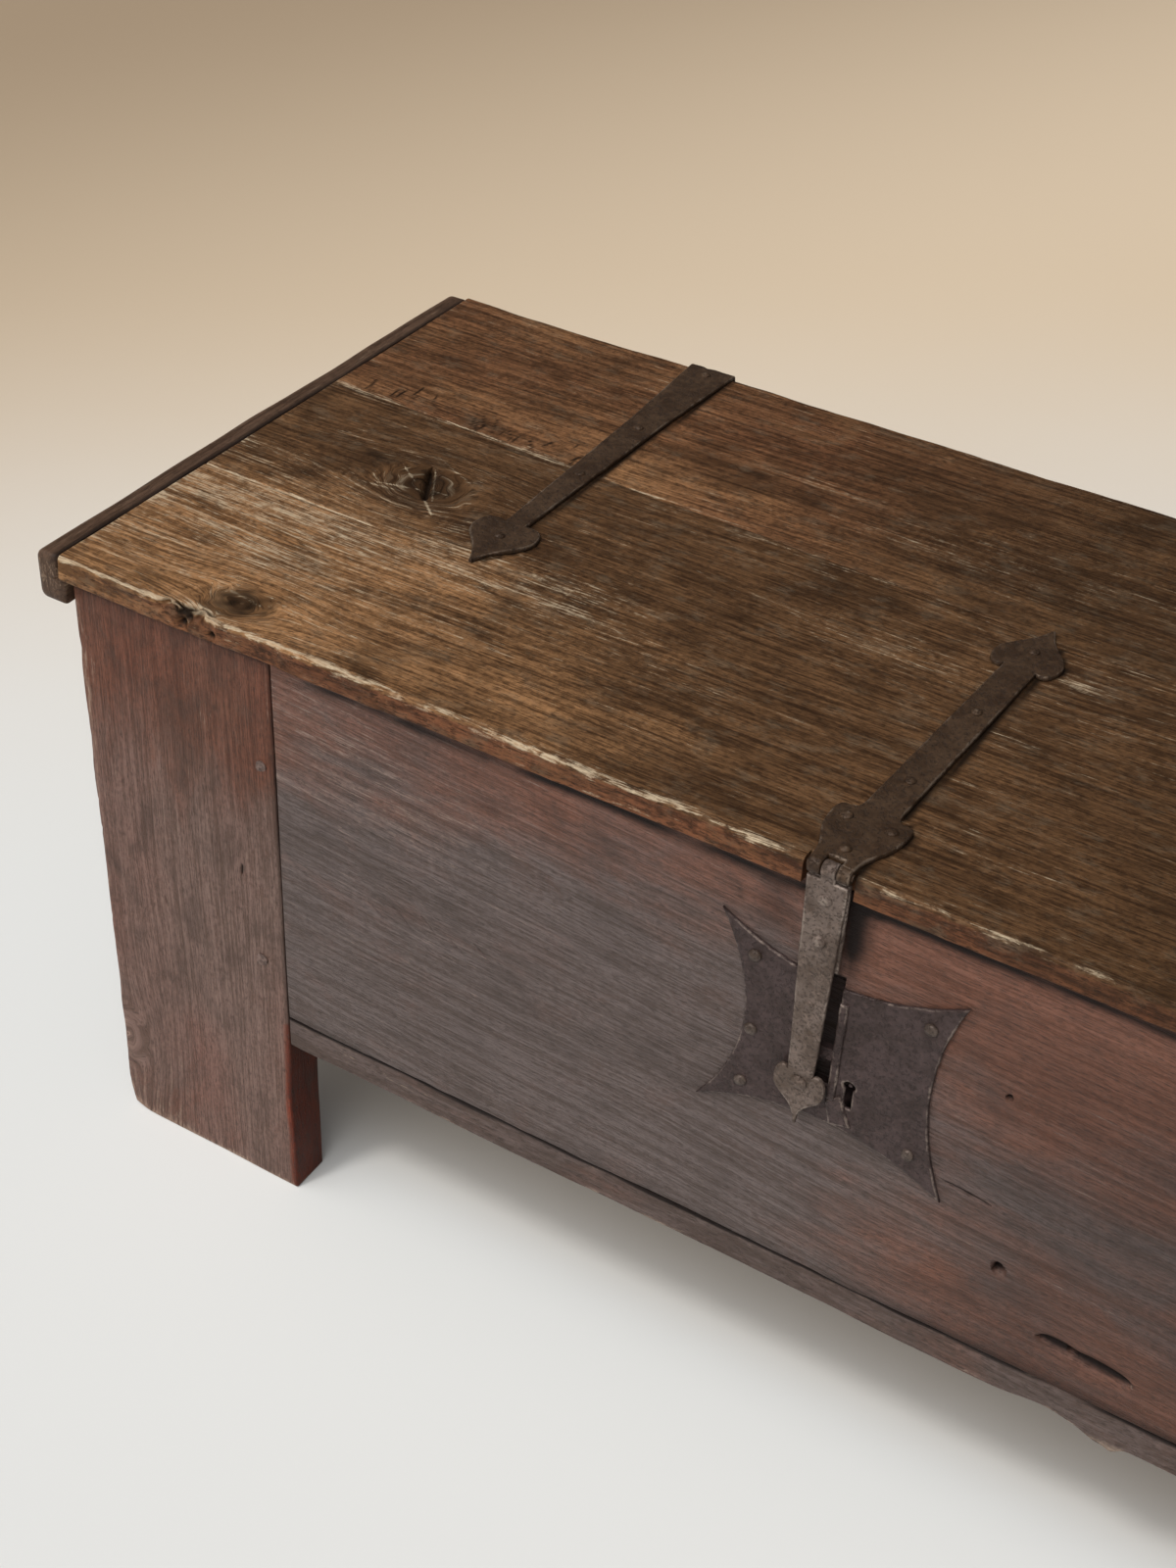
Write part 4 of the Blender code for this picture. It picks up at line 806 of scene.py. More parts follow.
def plank_fields(board, u, v, w, low, high):
    """Wear with any painted sheen, stain with any painted shade, blush and ruddiness over a board."""
    length, _, thick = board.size
    rims = (np.hypot(v - low, w), np.hypot(v - high, w), np.hypot(np.minimum(u, length - u), w))
    rim = np.maximum.reduce([weight * np.exp(-away / RIM_FADE) for weight, away in zip(board.rub, rims)])
    depth, dark, pale = mark_fields(board.marks, u, v)
    top = (w > -0.25 * thick) | (depth > 0.0005)
    ragged = mottle(u, v + w, 0.021, 0.011, board.seed + 7)
    wear = rim * (1 + 0.9 * ragged) + pale * top
    stain = dark * top
    if board.wear:
        wear = wear + board.wear(u, v, w)
    if board.stain:
        stain = np.maximum(stain, board.stain(u, v, w))
    blush = board.blush(u, v, w) if board.blush else np.zeros_like(u)
    ruddy = board.ruddy(u, v, w) if board.ruddy else np.zeros_like(u)
    return {"wear": wear, "stain": stain, "blush": blush, "ruddy": ruddy}


def plank_grain(board, u, v):
    """Places along and across a board's grain, which turns round its knots."""
    run = u.copy()
    flow = v + board.slant * u + 0.004 * mottle(u, v, 0.16, 0.05, board.seed + 8)
    for knot_u, knot_v, reach in board.knots:
        flow = flow - 0.78 * (v - knot_v) * spot(u, v, (knot_u, knot_v), (2.0 * reach, 1.15 * reach))
        away, ring = swirl(u, v, knot_u, knot_v, reach)
        run = run + (knot_u - run) * ring
        flow = flow + (knot_v + away - flow) * ring
    return run, flow


def add_plank(board, material):
    """Board with worn arrises, holes and cracks, and the fields its finish reads."""
    length, _, thick = board.size
    close = close_lines(board.marks, 0) + [window[0] for window in board.windows]
    close += step_lines(edge for recess in board.recesses for edge in recess[0:2])
    close += step_lines(board.edges)
    close += [(0, END_ROUND, END_ROUND / 3), (length - END_ROUND, length, END_ROUND / 3)]
    u = lines(length, board.step[0], close)
    v, w, low, high = plank_section(board, u)
    u = u[:, None] + 0 * v
    fields = plank_fields(board, u, v, w, low, high)
    run, flow = plank_grain(board, u, v)
    inset = rounding(u, END_ROUND) + rounding(length - u, END_ROUND)
    v = (low + high) / 2 + (v - (low + high) / 2) * (1 - 2 * inset / (high - low))
    w = -thick / 2 + (w + thick / 2) * (1 - 2 * inset / thick)
    u = u + (np.abs(wander(v[0], 0.012, 0.0007, board.seed + 9))[None, :] * (u < 0.0003))
    for centre, reach, push in board.dents:
        away = sum(((field - at) / span) ** 2 for field, at, span in zip((u, v, w), centre, reach))
        form = np.exp(-away)
        u, v, w = (field + amount * form for field, amount in zip((u, v, w), push))
    local = np.stack((u, v, w), axis=2).reshape(-1, 3)
    axes = np.array((board.along, board.across, board.out), dtype=float)
    points = np.array(board.corner) + local @ axes
    shift = np.array((board.seed * 1.37 % 5.0, board.seed * 0.71 % 3.0, board.seed * 0.43 % 2.0))
    fields = skin(np.stack((run, flow, w), axis=2) + shift, **fields)
    return add_object(board.name, points, loft_faces(*u.shape), fields, material)


def bend(start, lead, trail, end, count=9):
    """Points along a smooth curve from start to end, without the start."""
    part = np.linspace(0, 1, count + 1)[1:, None]
    rest = 1 - part
    corners = [np.array(corner) for corner in (start, lead, trail, end)]
    weights = (rest**3, 3 * rest**2 * part, 3 * rest * part**2, part**3)
    return [tuple(point) for point in sum(weight * corner for weight, corner in zip(weights, corners))]


def heart_edge(neck_width, heart_width, length, reach, waist=0.0):
    """Right edge of a heart-shaped iron end, from its neck to its tip, drawn in by its waist."""
    neck = neck_width / 2
    lobe = heart_width / 2
    edge = [(neck, 0)]
    edge += bend(edge[0], (neck, -0.06 * length), (lobe, -0.10 * length), (lobe, 0.24 * length))
    trail = (lobe * (0.3 - 0.22 * waist), length * (0.6 - 0.12 * waist))
    edge += bend(edge[-1], (lobe, (0.5 + 0.12 * waist) * length), trail, (0.02 * length, length))
    return [(across, along + reach) for across, along in edge]


def both_sides(edge):
    """Closed outline from its right edge, mirrored about the centre line."""
    return edge + [(-across, along) for across, along in reversed(edge)]


def even(outline, step):
    """Closed outline with points at most a step apart."""
    dense = []
    for here, following in zip(outline, outline[1:] + outline[:1]):
        here = np.array(here)
        following = np.array(following)
        count = max(1, math.ceil(np.linalg.norm(following - here) / step))
        dense += [here + (following - here) * part / count for part in range(count)]
    return np.array(dense)


def inward(loop):
    """Unit normals of a closed loop towards its inside, when it runs anticlockwise."""
    run = np.roll(loop, -1, 0) - np.roll(loop, 1, 0)
    normal = np.stack((-run[:, 1], run[:, 0]), axis=1)
    return normal / np.maximum(np.linalg.norm(normal, axis=1), 1e-9)[:, None]


def corner_room(loop):
    """Distance from each point of a closed loop to the far side of a sharp corner near it."""
    place = np.concatenate(([0.0], np.cumsum(np.linalg.norm(np.roll(loop, -1, 0) - loop, axis=1))))
    run = np.abs(place[:-1, None] - place[None, :-1])
    run = np.minimum(run, place[-1] - run)
    straight = np.linalg.norm(loop[:, None] - loop[None], axis=2)
    return np.where(run > SHARP_CORNER * straight, straight, np.inf).min(1)


def signed_area(loop):
    ahead = np.roll(loop, -1, 0)
    return 0.5 * np.sum(loop[:, 0] * ahead[:, 1] - ahead[:, 0] * loop[:, 1])


def inside_loops(points, loops):
    """Whether each point lies inside the outer loop and outside its holes."""
    inside = np.zeros(len(points), dtype=bool)
    for loop in loops:
        ahead = np.roll(loop, -1, 0)
        for (x1, y1), (x2, y2) in zip(loop, ahead):
            crosses = (y1 > points[:, 1]) != (y2 > points[:, 1])
            place = x1 + (points[:, 1] - y1) * (x2 - x1) / (y2 - y1 if y2 != y1 else 1e-12)
            inside ^= crosses & (points[:, 0] < place)
    return inside


def nearest(points, others):
    """Distance from each point to the closest of the others."""
    return np.sqrt(((points[:, None] - others[None]) ** 2).sum(2)).min(1)


def ragged_loops(outlines, ragged, seed):
    """Outline and holes with close points and uneven edges, the outline anticlockwise."""
    loops = []
    for number, outline in enumerate(outlines):
        loop = even(list(outline), OUTLINE_STEP)
        if (signed_area(loop) > 0) != (number == 0):
            loop = loop[::-1]
        place = np.arange(len(loop)) * 1.0
        shake = wander(place, 3.0, ragged, seed + number) * np.sin(np.pi * place / len(loop))
        loops.append(loop + inward(loop) * shake[:, None])
    return loops


def flat_face(rims, second, grid, seed):
    """Flat face inside its rims: points, triangles, and the number of each rim point among them."""
    boundary = np.concatenate(rims)
    low = boundary.min(0)
    high = boundary.max(0)
    across, along = np.meshgrid(np.arange(low[0], high[0], grid), np.arange(low[1], high[1], grid))
    fill = np.stack((across.ravel(), along.ravel()), axis=1)
    fill = fill + np.random.default_rng(seed).uniform(-0.3, 0.3, fill.shape) * grid
    fill = np.concatenate(second + [fill])
    fill = fill[inside_loops(fill, rims)]
    fill = fill[nearest(fill, boundary) > CLEAR_OF_RIM]
    flat = np.concatenate((boundary, fill))
    edges = []
    start = 0
    for rim in rims:
        count = len(rim)
        edges += [(start + here, start + (here + 1) % count) for here in range(count)]
        start += count
    found = delaunay_2d_cdt([Vector(point) for point in flat], edges, [], 1, 1e-7)
    flat = np.array([tuple(point) for point in found[0]])
    triangles = np.array(found[2])
    triangles = triangles[inside_loops(flat[triangles].mean(1), rims)].tolist()
    origin = {source: number for number, sources in enumerate(found[3]) for source in sources}
    return flat, triangles, origin


def forged(outlines, thick, seed, grid=0.0045, arris=0.0008, ragged=0.00025):
    """Hammered plate from its outline and holes: rounded arrises, uneven face, edge wear."""
    hammer = bpy.context.scene.plank_chest_sizes.hammer_depth
    loops = ragged_loops(outlines, ragged, seed)
    insets = [np.minimum(arris, CORNER_SHARE * corner_room(loop)) for loop in loops]
    rims = [loop + inward(loop) * inset[:, None] for loop, inset in zip(loops, insets)]
    second = [loop + inward(loop) * (arris + SECOND_RING) for loop in loops]
    flat, triangles, origin = flat_face(rims, second, grid, seed)
    rise = hammer * mottle(flat[:, 0], flat[:, 1], 0.011, 0.011, seed + 5)
    rise = rise + 0.6 * hammer * mottle(flat[:, 0], flat[:, 1], 0.0055, 0.0055, seed + 6)
    rub = np.exp(-nearest(flat, np.concatenate(rims)) / 0.0012)
    count = len(flat)
    points = [np.column_stack((flat, thick + rise)), np.column_stack((flat, np.zeros(count)))]
    rubs = [rub, 0 * rub]
    faces = triangles + [[corner + count for corner in reversed(face)] for face in triangles]
    start = 2 * count
    before = 0
    for loop in loops:
        size = len(loop)
        points += [np.column_stack((loop, np.full(size, level))) for level in (thick - arris, arris * 0.6)]
        rubs += [np.full(size, 0.8), np.zeros(size)]
        upper = [origin[before + here] for here in range(size)]
        rings = [
            upper,
            list(range(start, start + size)),
            list(range(start + size, start + 2 * size)),
            [corner + count for corner in upper],
        ]
        for one, other in zip(rings, rings[1:]):
            for here in range(size):
                there = (here + 1) % size
                faces.append([one[here], other[here], other[there], one[there]])
        start += 2 * size
        before += size
    return Shape(np.concatenate(points), faces, np.concatenate(rubs))


def lay(shape, place):
    """Shape with its flat places turned into the chest's."""
    across, along, rise = shape.points.T
    return Shape(np.column_stack(place(across, along, rise)), shape.faces, shape.rub)


def barrel(start, end, y, z, radius, seed, sides=26):
    """Knuckle round a pin that lies along X, with worn ends."""
    edge = 0.0011
    reach = np.array((start, start + 0.3 * edge, start + edge, (2 * start + end) / 3, (start + 2 * end) / 3,
                      end - edge, end - 0.3 * edge, end))
    girth = radius - np.array((edge, 0.4 * edge, 0, -0.00012, 0.0001, 0, 0.4 * edge, edge))
    angle = np.linspace(0, math.tau, sides, endpoint=False)
    shake = wander(np.arange(sides) * 1.0, 2.0, 0.00018, seed) * np.sin(angle / 2)
    around = girth[:, None] + shake[None, :]
    points = np.stack((
        reach[:, None] + 0 * around, y + around * np.cos(angle), z + around * np.sin(angle),
    ), axis=2).reshape(-1, 3)
    rub = np.repeat(np.array((0.5, 0.9, 0.9, 0.5, 0.5, 0.9, 0.9, 0.5)), sides)
    return Shape(points, loft_faces(len(reach), sides), rub)


def knuckle_pair(middle, inner, outer, y, z, radius, seed):
    """Knuckles of a strap on both sides of its eye."""
    ends = [sorted((middle + hand * inner, middle + hand * outer)) for hand in (-1, 1)]
    return [barrel(*reach, y, z, radius, seed + hand) for reach, hand in zip(ends, (-1, 1))]


def add_iron(name, shapes, material):
    """One object from several forged shapes, each facing outwards."""
    points = []
    faces = []
    rubs = []
    start = 0
    for shape in shapes:
        middle = shape.points.mean(0)
        volume = 0.0
        for face in shape.faces:
            corners = shape.points[face] - middle
            for second, third in zip(corners[1:], corners[2:]):
                volume += corners[0] @ np.cross(second, third)
        turn = -1 if volume < 0 else 1
        points.append(shape.points)
        rubs.append(shape.rub)
        faces += [[start + corner for corner in face[::turn]] for face in shape.faces]
        start += len(shape.points)
    return add_object(name, np.concatenate(points), faces, {"rub": np.concatenate(rubs)}, material)


def grow(name, tree, spots, inputs):
    """Plain mesh from a tree that sets a shape on each spot: its place, facing and share of the size."""
    mesh = bpy.data.meshes.new(name)
    places, facings, shares = zip(*spots)
    mesh.from_pydata(places, [], [])
    for key, values in (("facing", facings), ("share", shares)):
        layer = mesh.attributes.new(key, "FLOAT_VECTOR", "POINT")
        layer.data.foreach_set("vector", np.array(values, dtype=np.float32).ravel())
    made = bpy.data.objects.new(name, mesh)
    bpy.context.scene.collection.objects.link(made)
    modifier = made.modifiers.new(name, "NODES")
    modifier.node_group = tree
    sockets = (item for item in tree.interface.items_tree if item.in_out == "INPUT")
    identifiers = {item.name: item.identifier for item in sockets}
    for key, value in inputs.items():
        modifier[identifiers[key]] = value
    evaluated = made.evaluated_get(bpy.context.evaluated_depsgraph_get())
    finished = bpy.data.meshes.new_from_object(evaluated)
    made.modifiers.clear()
    made.data = finished
    finished.name = name
    return made


def fastening_tree(name, sizes, shape):
    """Tree that sets a shape on every spot, turned to its facing, no two quite alike."""
    tree = bpy.data.node_groups.new(name, "GeometryNodeTree")
    tree.interface.new_socket("Geometry", in_out="OUTPUT", socket_type="NodeSocketGeometry")
    tree.interface.new_socket("Geometry", in_out="INPUT", socket_type="NodeSocketGeometry")
    for label, default in sizes.items():
        socket = tree.interface.new_socket(label, in_out="INPUT", socket_type="NodeSocketFloat")
        socket.default_value = default
    seed = tree.interface.new_socket("Seed", in_out="INPUT", socket_type="NodeSocketInt")
    seed.default_value = 3
    tree.interface.new_socket("Finish", in_out="INPUT", socket_type="NodeSocketMaterial")
    maker = NodeMaker(tree)
    given = tree.nodes.new("NodeGroupInput")
    source = {socket.name: Value(maker, socket) for socket in given.outputs if socket.name}
    one = shape(maker)
    facing, share = (
        maker.node("GeometryNodeInputNamedAttribute", {"data_type": "FLOAT_VECTOR"}, {"Name": name})
        for name in ("facing", "share")
    )
    turn = maker.node("FunctionNodeAlignRotationToVector", {"axis": "Z"}, {"Vector": facing})
    spread = maker.node("FunctionNodeRandomValue", {"data_type": "FLOAT_VECTOR"}, {
        0: (0.90, 0.90, 0.88), 1: (1.10, 1.10, 1.12), "Seed": source["Seed"],
    })
    size = maker.node("ShaderNodeCombineXYZ", {}, {
        "X": source["Radius"], "Y": source["Radius"], "Z": source["Height"],
    })
    size = maker.stretch(maker.stretch(size, spread), share)
    set_out = maker.node("GeometryNodeInstanceOnPoints", {}, {
        "Points": source["Geometry"], "Instance": one, "Rotation": turn, "Scale": size,
    })
    spin = maker.node("FunctionNodeRandomValue", {"data_type": "FLOAT_VECTOR"}, {
        0: (-0.05, -0.05, -3.1), 1: (0.05, 0.05, 3.1), "Seed": source["Seed"],
    })
    set_out = maker.node("GeometryNodeRotateInstances", {}, {
        "Instances": set_out, "Rotation": spin, "Local Space": True,
    })
    solid = maker.node("GeometryNodeRealizeInstances", {}, {"Geometry": set_out})
    coated = maker.node("GeometryNodeSetMaterial", {}, {"Geometry": solid, "Material": source["Finish"]})
    result = tree.nodes.new("NodeGroupOutput")
    tree.links.new(coated.socket, result.inputs["Geometry"])
    return tree


def knocked(maker, solid, scale, detail, depth):
    """Solid with its faces pushed in and out a little at random."""
    rough = maker.noise(maker.node("GeometryNodeInputPosition", {}, {}), scale, detail)
    push = maker.node("ShaderNodeVectorMath", {"operation": "SCALE"}, {
        0: maker.node("GeometryNodeInputNormal", {}, {}, "Normal"), "Scale": (rough - 0.5) * depth,
    })
    return maker.node("GeometryNodeSetPosition", {}, {"Geometry": solid, "Offset": push})


def domed_head(maker):
    """Forged head of radius 1 and height 1, with an uneven crown that carries a painted highlight."""
    ball = maker.node("GeometryNodeMeshUVSphere", {}, {"Segments": 18, "Rings": 10, "Radius": 1.0}, "Mesh")
    head = knocked(maker, ball, 1.7, 2.0, 0.30)
    place = maker.node("GeometryNodeInputPosition", {}, {})
    rise = maker.node("ShaderNodeSeparateXYZ", {}, {0: place}, "Z")
    # Painted highlight: the crown of the head is marked for the iron's bright tone.
    head = maker.node("GeometryNodeStoreNamedAttribute", {"data_type": "FLOAT", "domain": "POINT"}, {
        "Geometry": head, "Name": "rub", "Value": maker.step(rise, 0.55, 1.1),
    })
    return maker.node("GeometryNodeSetShadeSmooth", {}, {"Geometry": head})


def whittled_peg(maker):
    """Peg of radius 1 and length 1 with uneven sides and a slightly domed end."""
    body = maker.node("GeometryNodeMeshCylinder", {"fill_type": "TRIANGLE_FAN"}, {
        "Vertices": 11, "Side Segments": 1, "Fill Segments": 3, "Radius": 1.0, "Depth": 1.0,
    }, "Mesh")
    return knocked(maker, body, 1.4, 1.0, 0.35)


def painted_lid_shadow(below, edge, soft):
    """Painted shadow on a board under the lid's edge: a dark line, a little paler at its top."""
    return fade((below - edge) / soft) * (0.35 + 0.60 * ramp(below - 0.003, 0.003))


def joint_rub(away, u):
    """Pale line along the joint of the lid's boards, weaker to the right."""
    return np.exp(-np.abs(away) / 0.0018) * np.clip(2.2 - u / 0.17, 0.30, 1)


def shadow_line(aside):
    """Painted shadow beside an iron edge: a dark line just outside it."""
    return 0.85 * fade((np.abs(aside - 0.0010) - 0.0030) / 0.0006)


def strap_shadow(u, y):
    """Painted shadow on the lid: a dark line along the right side of each strap."""
    dark = np.zeros_like(u)
    along = BACK - y
    for way in SIDES.values():
        half = np.interp(along, (0.0, 0.112, 0.306, 0.320, 0.366), (0.0205, 0.014, 0.0085, 0.027, 0.0))
        aside = u - LID_END - way * HINGE_X - half
        dark = np.maximum(dark, shadow_line(aside) * (along < 0.36))
    reach = y - HASP_Y
    half = np.interp(
        reach, (0.0, 0.02, 0.05, 0.068, 0.262, 0.276, 0.319),
        (0.0145, 0.0165, 0.0265, 0.013, 0.012, 0.025, 0.0))
    aside = u - LID_END - HASP_X - HASP_LEAN * reach - half
    return np.maximum(dark, shadow_line(aside) * (reach < 0.31))


class CHEST_OT_lid_boards(bpy.types.Operator):
    """Make the two boards of the lid with their knot, splits and worn front edge"""

    bl_idname = "chest.lid_boards"
    bl_label = "Lid boards"

    def execute(self, context):
        oak = finishes()["lid_oak"]
        length = 2 * LID_END
        thick = LID_TOP - LID_UNDER
        fall = LID_JOINT_LEFT - LID_JOINT_RIGHT
        dress(add_plank(self.front(length, thick, fall), oak), "lid", "lid_oak", "lid_board_front")
        dress(add_plank(self.rear(length, thick, fall), oak), "lid", "lid_oak", "lid_board_rear")
        return {"FINISHED"}

    @staticmethod
    def front(length, thick, fall):
        """Front board: knot, burr torn open at the edge, rubbed gold with painted sheen at the left, and a
        painted highlight along the front arris.
        """
        notch = [edge + LID_END for edge in LID_NOTCH[:2]]
        knot = (0.158, 0.238)
        burr = (0.145, 0.0285)
        edge_holes = ((0.115, -0.0125, 0.0036, 0.006), (0.141, -0.0130, 0.0028, 0.005))
        draw = np.random.default_rng(12)
        torn_holes = [
            ((place, 0.0, -depth), (0.0026, 0.006, 0.0024), (0, 0.0042, 0))
            for place, depth in zip(draw.uniform(0.094, 0.134, 11), draw.uniform(0.001, 0.008, 11))
        ]

        def hasp_notch(u):
            return np.where((u > notch[0]) & (u < notch[1]), LID_NOTCH[2], 0.0)

        def wear(u, v, w):
            # Pale rubbed wood at the front left, with painted sheen.
            rubbed = patches(
                u, v, (0.44, (0.09, 0.12), (0.20, 0.09)), (0.10, (0.33, 0.16), (0.14, 0.06)),
                (0.12, (0.66, 0.20), (0.20, 0.12)))
            # Front arris: pale torn wood with a painted highlight along it.
            edge = np.hypot(v - 0.0015, w + 0.0005)
            broad = ramp(u - 0.17, 0.05) * np.clip(1.9 - u / 0.5, 0.30, 1)
            broken = 0.66 + 0.5 * mottle(u, v, 0.016, 0.003, 90) + 0.5 * mottle(u, v, 0.006, 0.0020, 89)
            broken = np.clip(broken, 0.15, 1)
            arris = np.exp(-(edge / 0.0021) ** 2) * np.clip(1.6 - u / 0.5, 0.3, 1.4)
            broken = np.maximum(broken, 0.8 * (u < 0.10))
            arris = 0.74 * np.maximum(arris, 0.9 * broad * np.exp(-(edge / 0.0045) ** 2)) * broken
            arris = arris * np.clip((0.68 - u) / 0.10, 0.45, 1)
            torn = patches(
                u, v, (0.70, (0.125, 0.006), (0.020, 0.006)), (0.16, (0.130, 0.225), (0.04, 0.02)))
            joint = 0.42 * joint_rub(v - (0.3352 - fall * u / length), u)
            scuff = patches(
                u, v, (0.45, (0.672, 0.272), (0.020, 0.010)), (0.14, (0.235, 0.165), (0.03, 0.02)))
            top = rubbed + torn + joint + scuff + 0.14 * mottle(u, v, 0.11, 0.03, 91)
            return 0.06 + arris + top * (w > -0.004)

        def stain(u, v, w):
            ring = swirl(u, v, *knot, 0.034)[1]
            disc = 0.42 * spot(u, v, knot, (0.046, 0.036)) * (1 + 0.4 * mottle(u, v, 0.012, 0.008, 88))
            shade_left = 0.42 + 0.25 * mottle(u, v, 0.016, 0.006, 86)
            shade_left = shade_left * spot(u, v, (0.098, 0.252), (0.046, 0.022))
            disc = np.maximum(0.24 * ring + disc, shade_left)
            oval = swirl(u, v, *burr, 0.028)[1] * (0.66 + 0.22 * mottle(u, v, 0.007, 0.004, 87))
            dull = 0.50 * ramp(u - 0.58, 0.30) + 0.06 * mottle(u, v, 0.2, 0.05, 92)
            face = (0.26 - 0.22 * np.exp(-u / 0.05)) * (w < -0.0035) * (v < 0.01)
            dull = dull + 0.07 * spot(u, v, (0.34, 0.25), (0.10, 0.06))
            # Painted shadow beside the straps.
            strap = strap_shadow(u, v + LID_FRONT)
            torn = 0.75 * spot(u, w, (0.116, -0.005), (0.020, 0.007)) * (v < 0.006)
            torn = torn * (1 + 0.5 * mottle(u, w, 0.006, 0.003, 94))
            holes = sum(spot(u, w, hole[:2], (0.0030, 0.0030)) for hole in edge_holes) * (v < 0.008)
            upper = w > -0.5 * thick
            fields = [disc * upper, oval * upper, dull + strap * upper, face, torn, 1.2 * holes]
            return np.maximum.reduce(fields)

        def blush(u, v, w):
            corner = spot(np.maximum(u - 0.06, 0), np.maximum(v - 0.09, 0), (0.0, 0.0), (0.26, 0.11))
            gold = 0.95 * corner + 0.14 * mottle(u, v, 0.14, 0.04, 93)
            gold = gold + patches(
                u, v, (0.22, (0.42, 0.06), (0.18, 0.07)), (0.10, (0.66, 0.24), (0.12, 0.07)),
                (-0.4, knot, (0.05, 0.05)))
            side = 0.30 + 0.9 * np.exp(-u / 0.07) + 0.25 * mottle(u, w, 0.05, 0.01, 99)
            return np.where((w < -0.004) & (v < 0.02), side, gold)

        def ruddy(u, v, w):
            face = 0.95 - 1.10 * np.exp(-u / 0.06) + 0.25 * mottle(u, w, 0.04, 0.008, 100)
            return face * (w < -0.0036) * (v < 0.012)

        def crack(u, v, long, wide, turn, depth, dark, pale):
            return Mark(u, v, long, wide, math.radians(turn), depth, dark, pale)

        return Plank(
            "lid_board_front_worn", (-LID_END, LID_FRONT, LID_TOP), *LYING,
            (length, LID_JOINT_LEFT - LID_FRONT, thick), 11, step=(0.0055, 0.006),
            arris=(0.0028, 0.0009), chip=0.0036, rub=(0.2, 0.15, 0.15),
            low_edge=hasp_notch, high_edge=lambda u: fall * u / length, edges=tuple(notch),
            windows=(
                ((0.108, 0.208, 0.0016), (0.196, 0.286, 0.0014)),
                ((0.090, 0.190, 0.0020), (0.000, 0.056, 0.0020)),
            ),
            marks=(
                crack(0.1569, 0.2406, 0.050, 0.0070, -62, 0.0060, 1.0, 0.0),
                crack(0.1520, 0.2500, 0.020, 0.0036, 50, 0.0030, 0.9, 0.0),
                crack(0.1615, 0.2420, 0.052, 0.0018, -59, 0.0, 0.0, 0.75),
                crack(0.1753, 0.2130, 0.028, 0.0018, -42, 0.0, 0.0, 0.7),
                crack(0.1339, 0.2474, 0.032, 0.0018, -36, 0.0, 0.0, 0.6),
                crack(0.1419, 0.2259, 0.042, 0.0018, 15, 0.0, 0.0, 0.55),
                crack(0.1681, 0.2337, 0.022, 0.0016, 5, 0.0, 0.0, 0.6),
                crack(0.1620, 0.2691, 0.052, 0.0020, -25, 0.0, 0.0, 0.4),
                crack(0.1250, 0.2170, 0.046, 0.0020, 8, 0.0, 0.0, 0.4),
                crack(0.0600, 0.1680, 0.220, 0.0022, -1, 0.0012, 0.3, 0.7),
                crack(0.1180, 0.0050, 0.022, 0.0060, 8, 0.0050, 1.0, 0.0),
                crack(0.1350, 0.0070, 0.016, 0.0040, -15, 0.0030, 0.8, 0.3),
                crack(0.1520, 0.0300, 0.030, 0.0030, -35, 0.0, 0.6, 0.0),
                crack(0.1380, 0.0260, 0.026, 0.0026, 25, 0.0, 0.5, 0.0),
                crack(0.1450, 0.0350, 0.034, 0.0020, -8, 0.0, 0.0, 0.7),
            ),
            knots=((*knot, 0.034), (*burr, 0.026)),
            dents=(
                ((0.118, 0.0, -0.002), (0.016, 0.006, 0.007), (0, 0.0035, -0.0015)),
                *torn_holes,
                *(((u, 0.0, w), (wide, 0.006, wide), (0, deep, 0)) for u, w, wide, deep in edge_holes),
                ((0.020, 0.0, -0.004), (0.030, 0.006, 0.012), (0, 0.0025, -0.001)),
                ((0.340, 0.0, -0.002), (0.050, 0.006, 0.008), (0, 0.0018, -0.001)),
                ((0.520, 0.0, -0.002), (0.030, 0.006, 0.008), (0, 0.0020, -0.001)),
            ),
            wear=wear, stain=stain, blush=blush, ruddy=ruddy,
        )

    @staticmethod
    def rear(length, thick, fall):
        """Rear board, darker, with torn flecks along the joint."""

        def wear(u, v, w):
            joint = 0.40 * joint_rub(v - fall * (1 - u / length), u)
            streaks = 0.18 * spot(u, v, (0.62, 0.10), (0.24, 0.05))
            return 0.03 + streaks + joint + 0.16 * mottle(u, v, 0.10, 0.03, 95)

        def stain(u, v, w):
            dull = 0.05 + 0.08 * mottle(u, v, 0.2, 0.05, 96) + 0.36 * ramp(u - 0.30, 0.20)
            # Darker to the right, with painted shadow beside the straps.
            return dull + strap_shadow(u, v + LID_JOINT_RIGHT + GAP) * (w > -0.5 * thick)

        def blush(u, v, w):
            warm = 0.30 * ramp(0.42 - u, 0.15) + 0.30 * spot(u, v, (0.44, 0.05), (0.18, 0.035))
            return 0.12 + warm + 0.15 * mottle(u, v, 0.15, 0.04, 98)

        def ruddy(u, v, w):
            return (0.36 + 0.2 * mottle(u, v, 0.09, 0.04, 101)) * ramp(0.62 - u, 0.20)

        draw = np.random.default_rng(97)
        flecks = []
        for place in np.concatenate((draw.uniform(0.025, 0.085, 8), draw.uniform(0.13, 0.235, 16))):
            near = abs(draw.normal(0.0, 0.011)) + 0.004
            flecks.append(Mark(
                place, near + fall * (1 - place / length),
                draw.uniform(0.009, 0.018), draw.uniform(0.0022, 0.0036),
                math.radians(draw.uniform(-115, -50)), 0.0, draw.uniform(0.75, 1.0), 0.0,
            ))

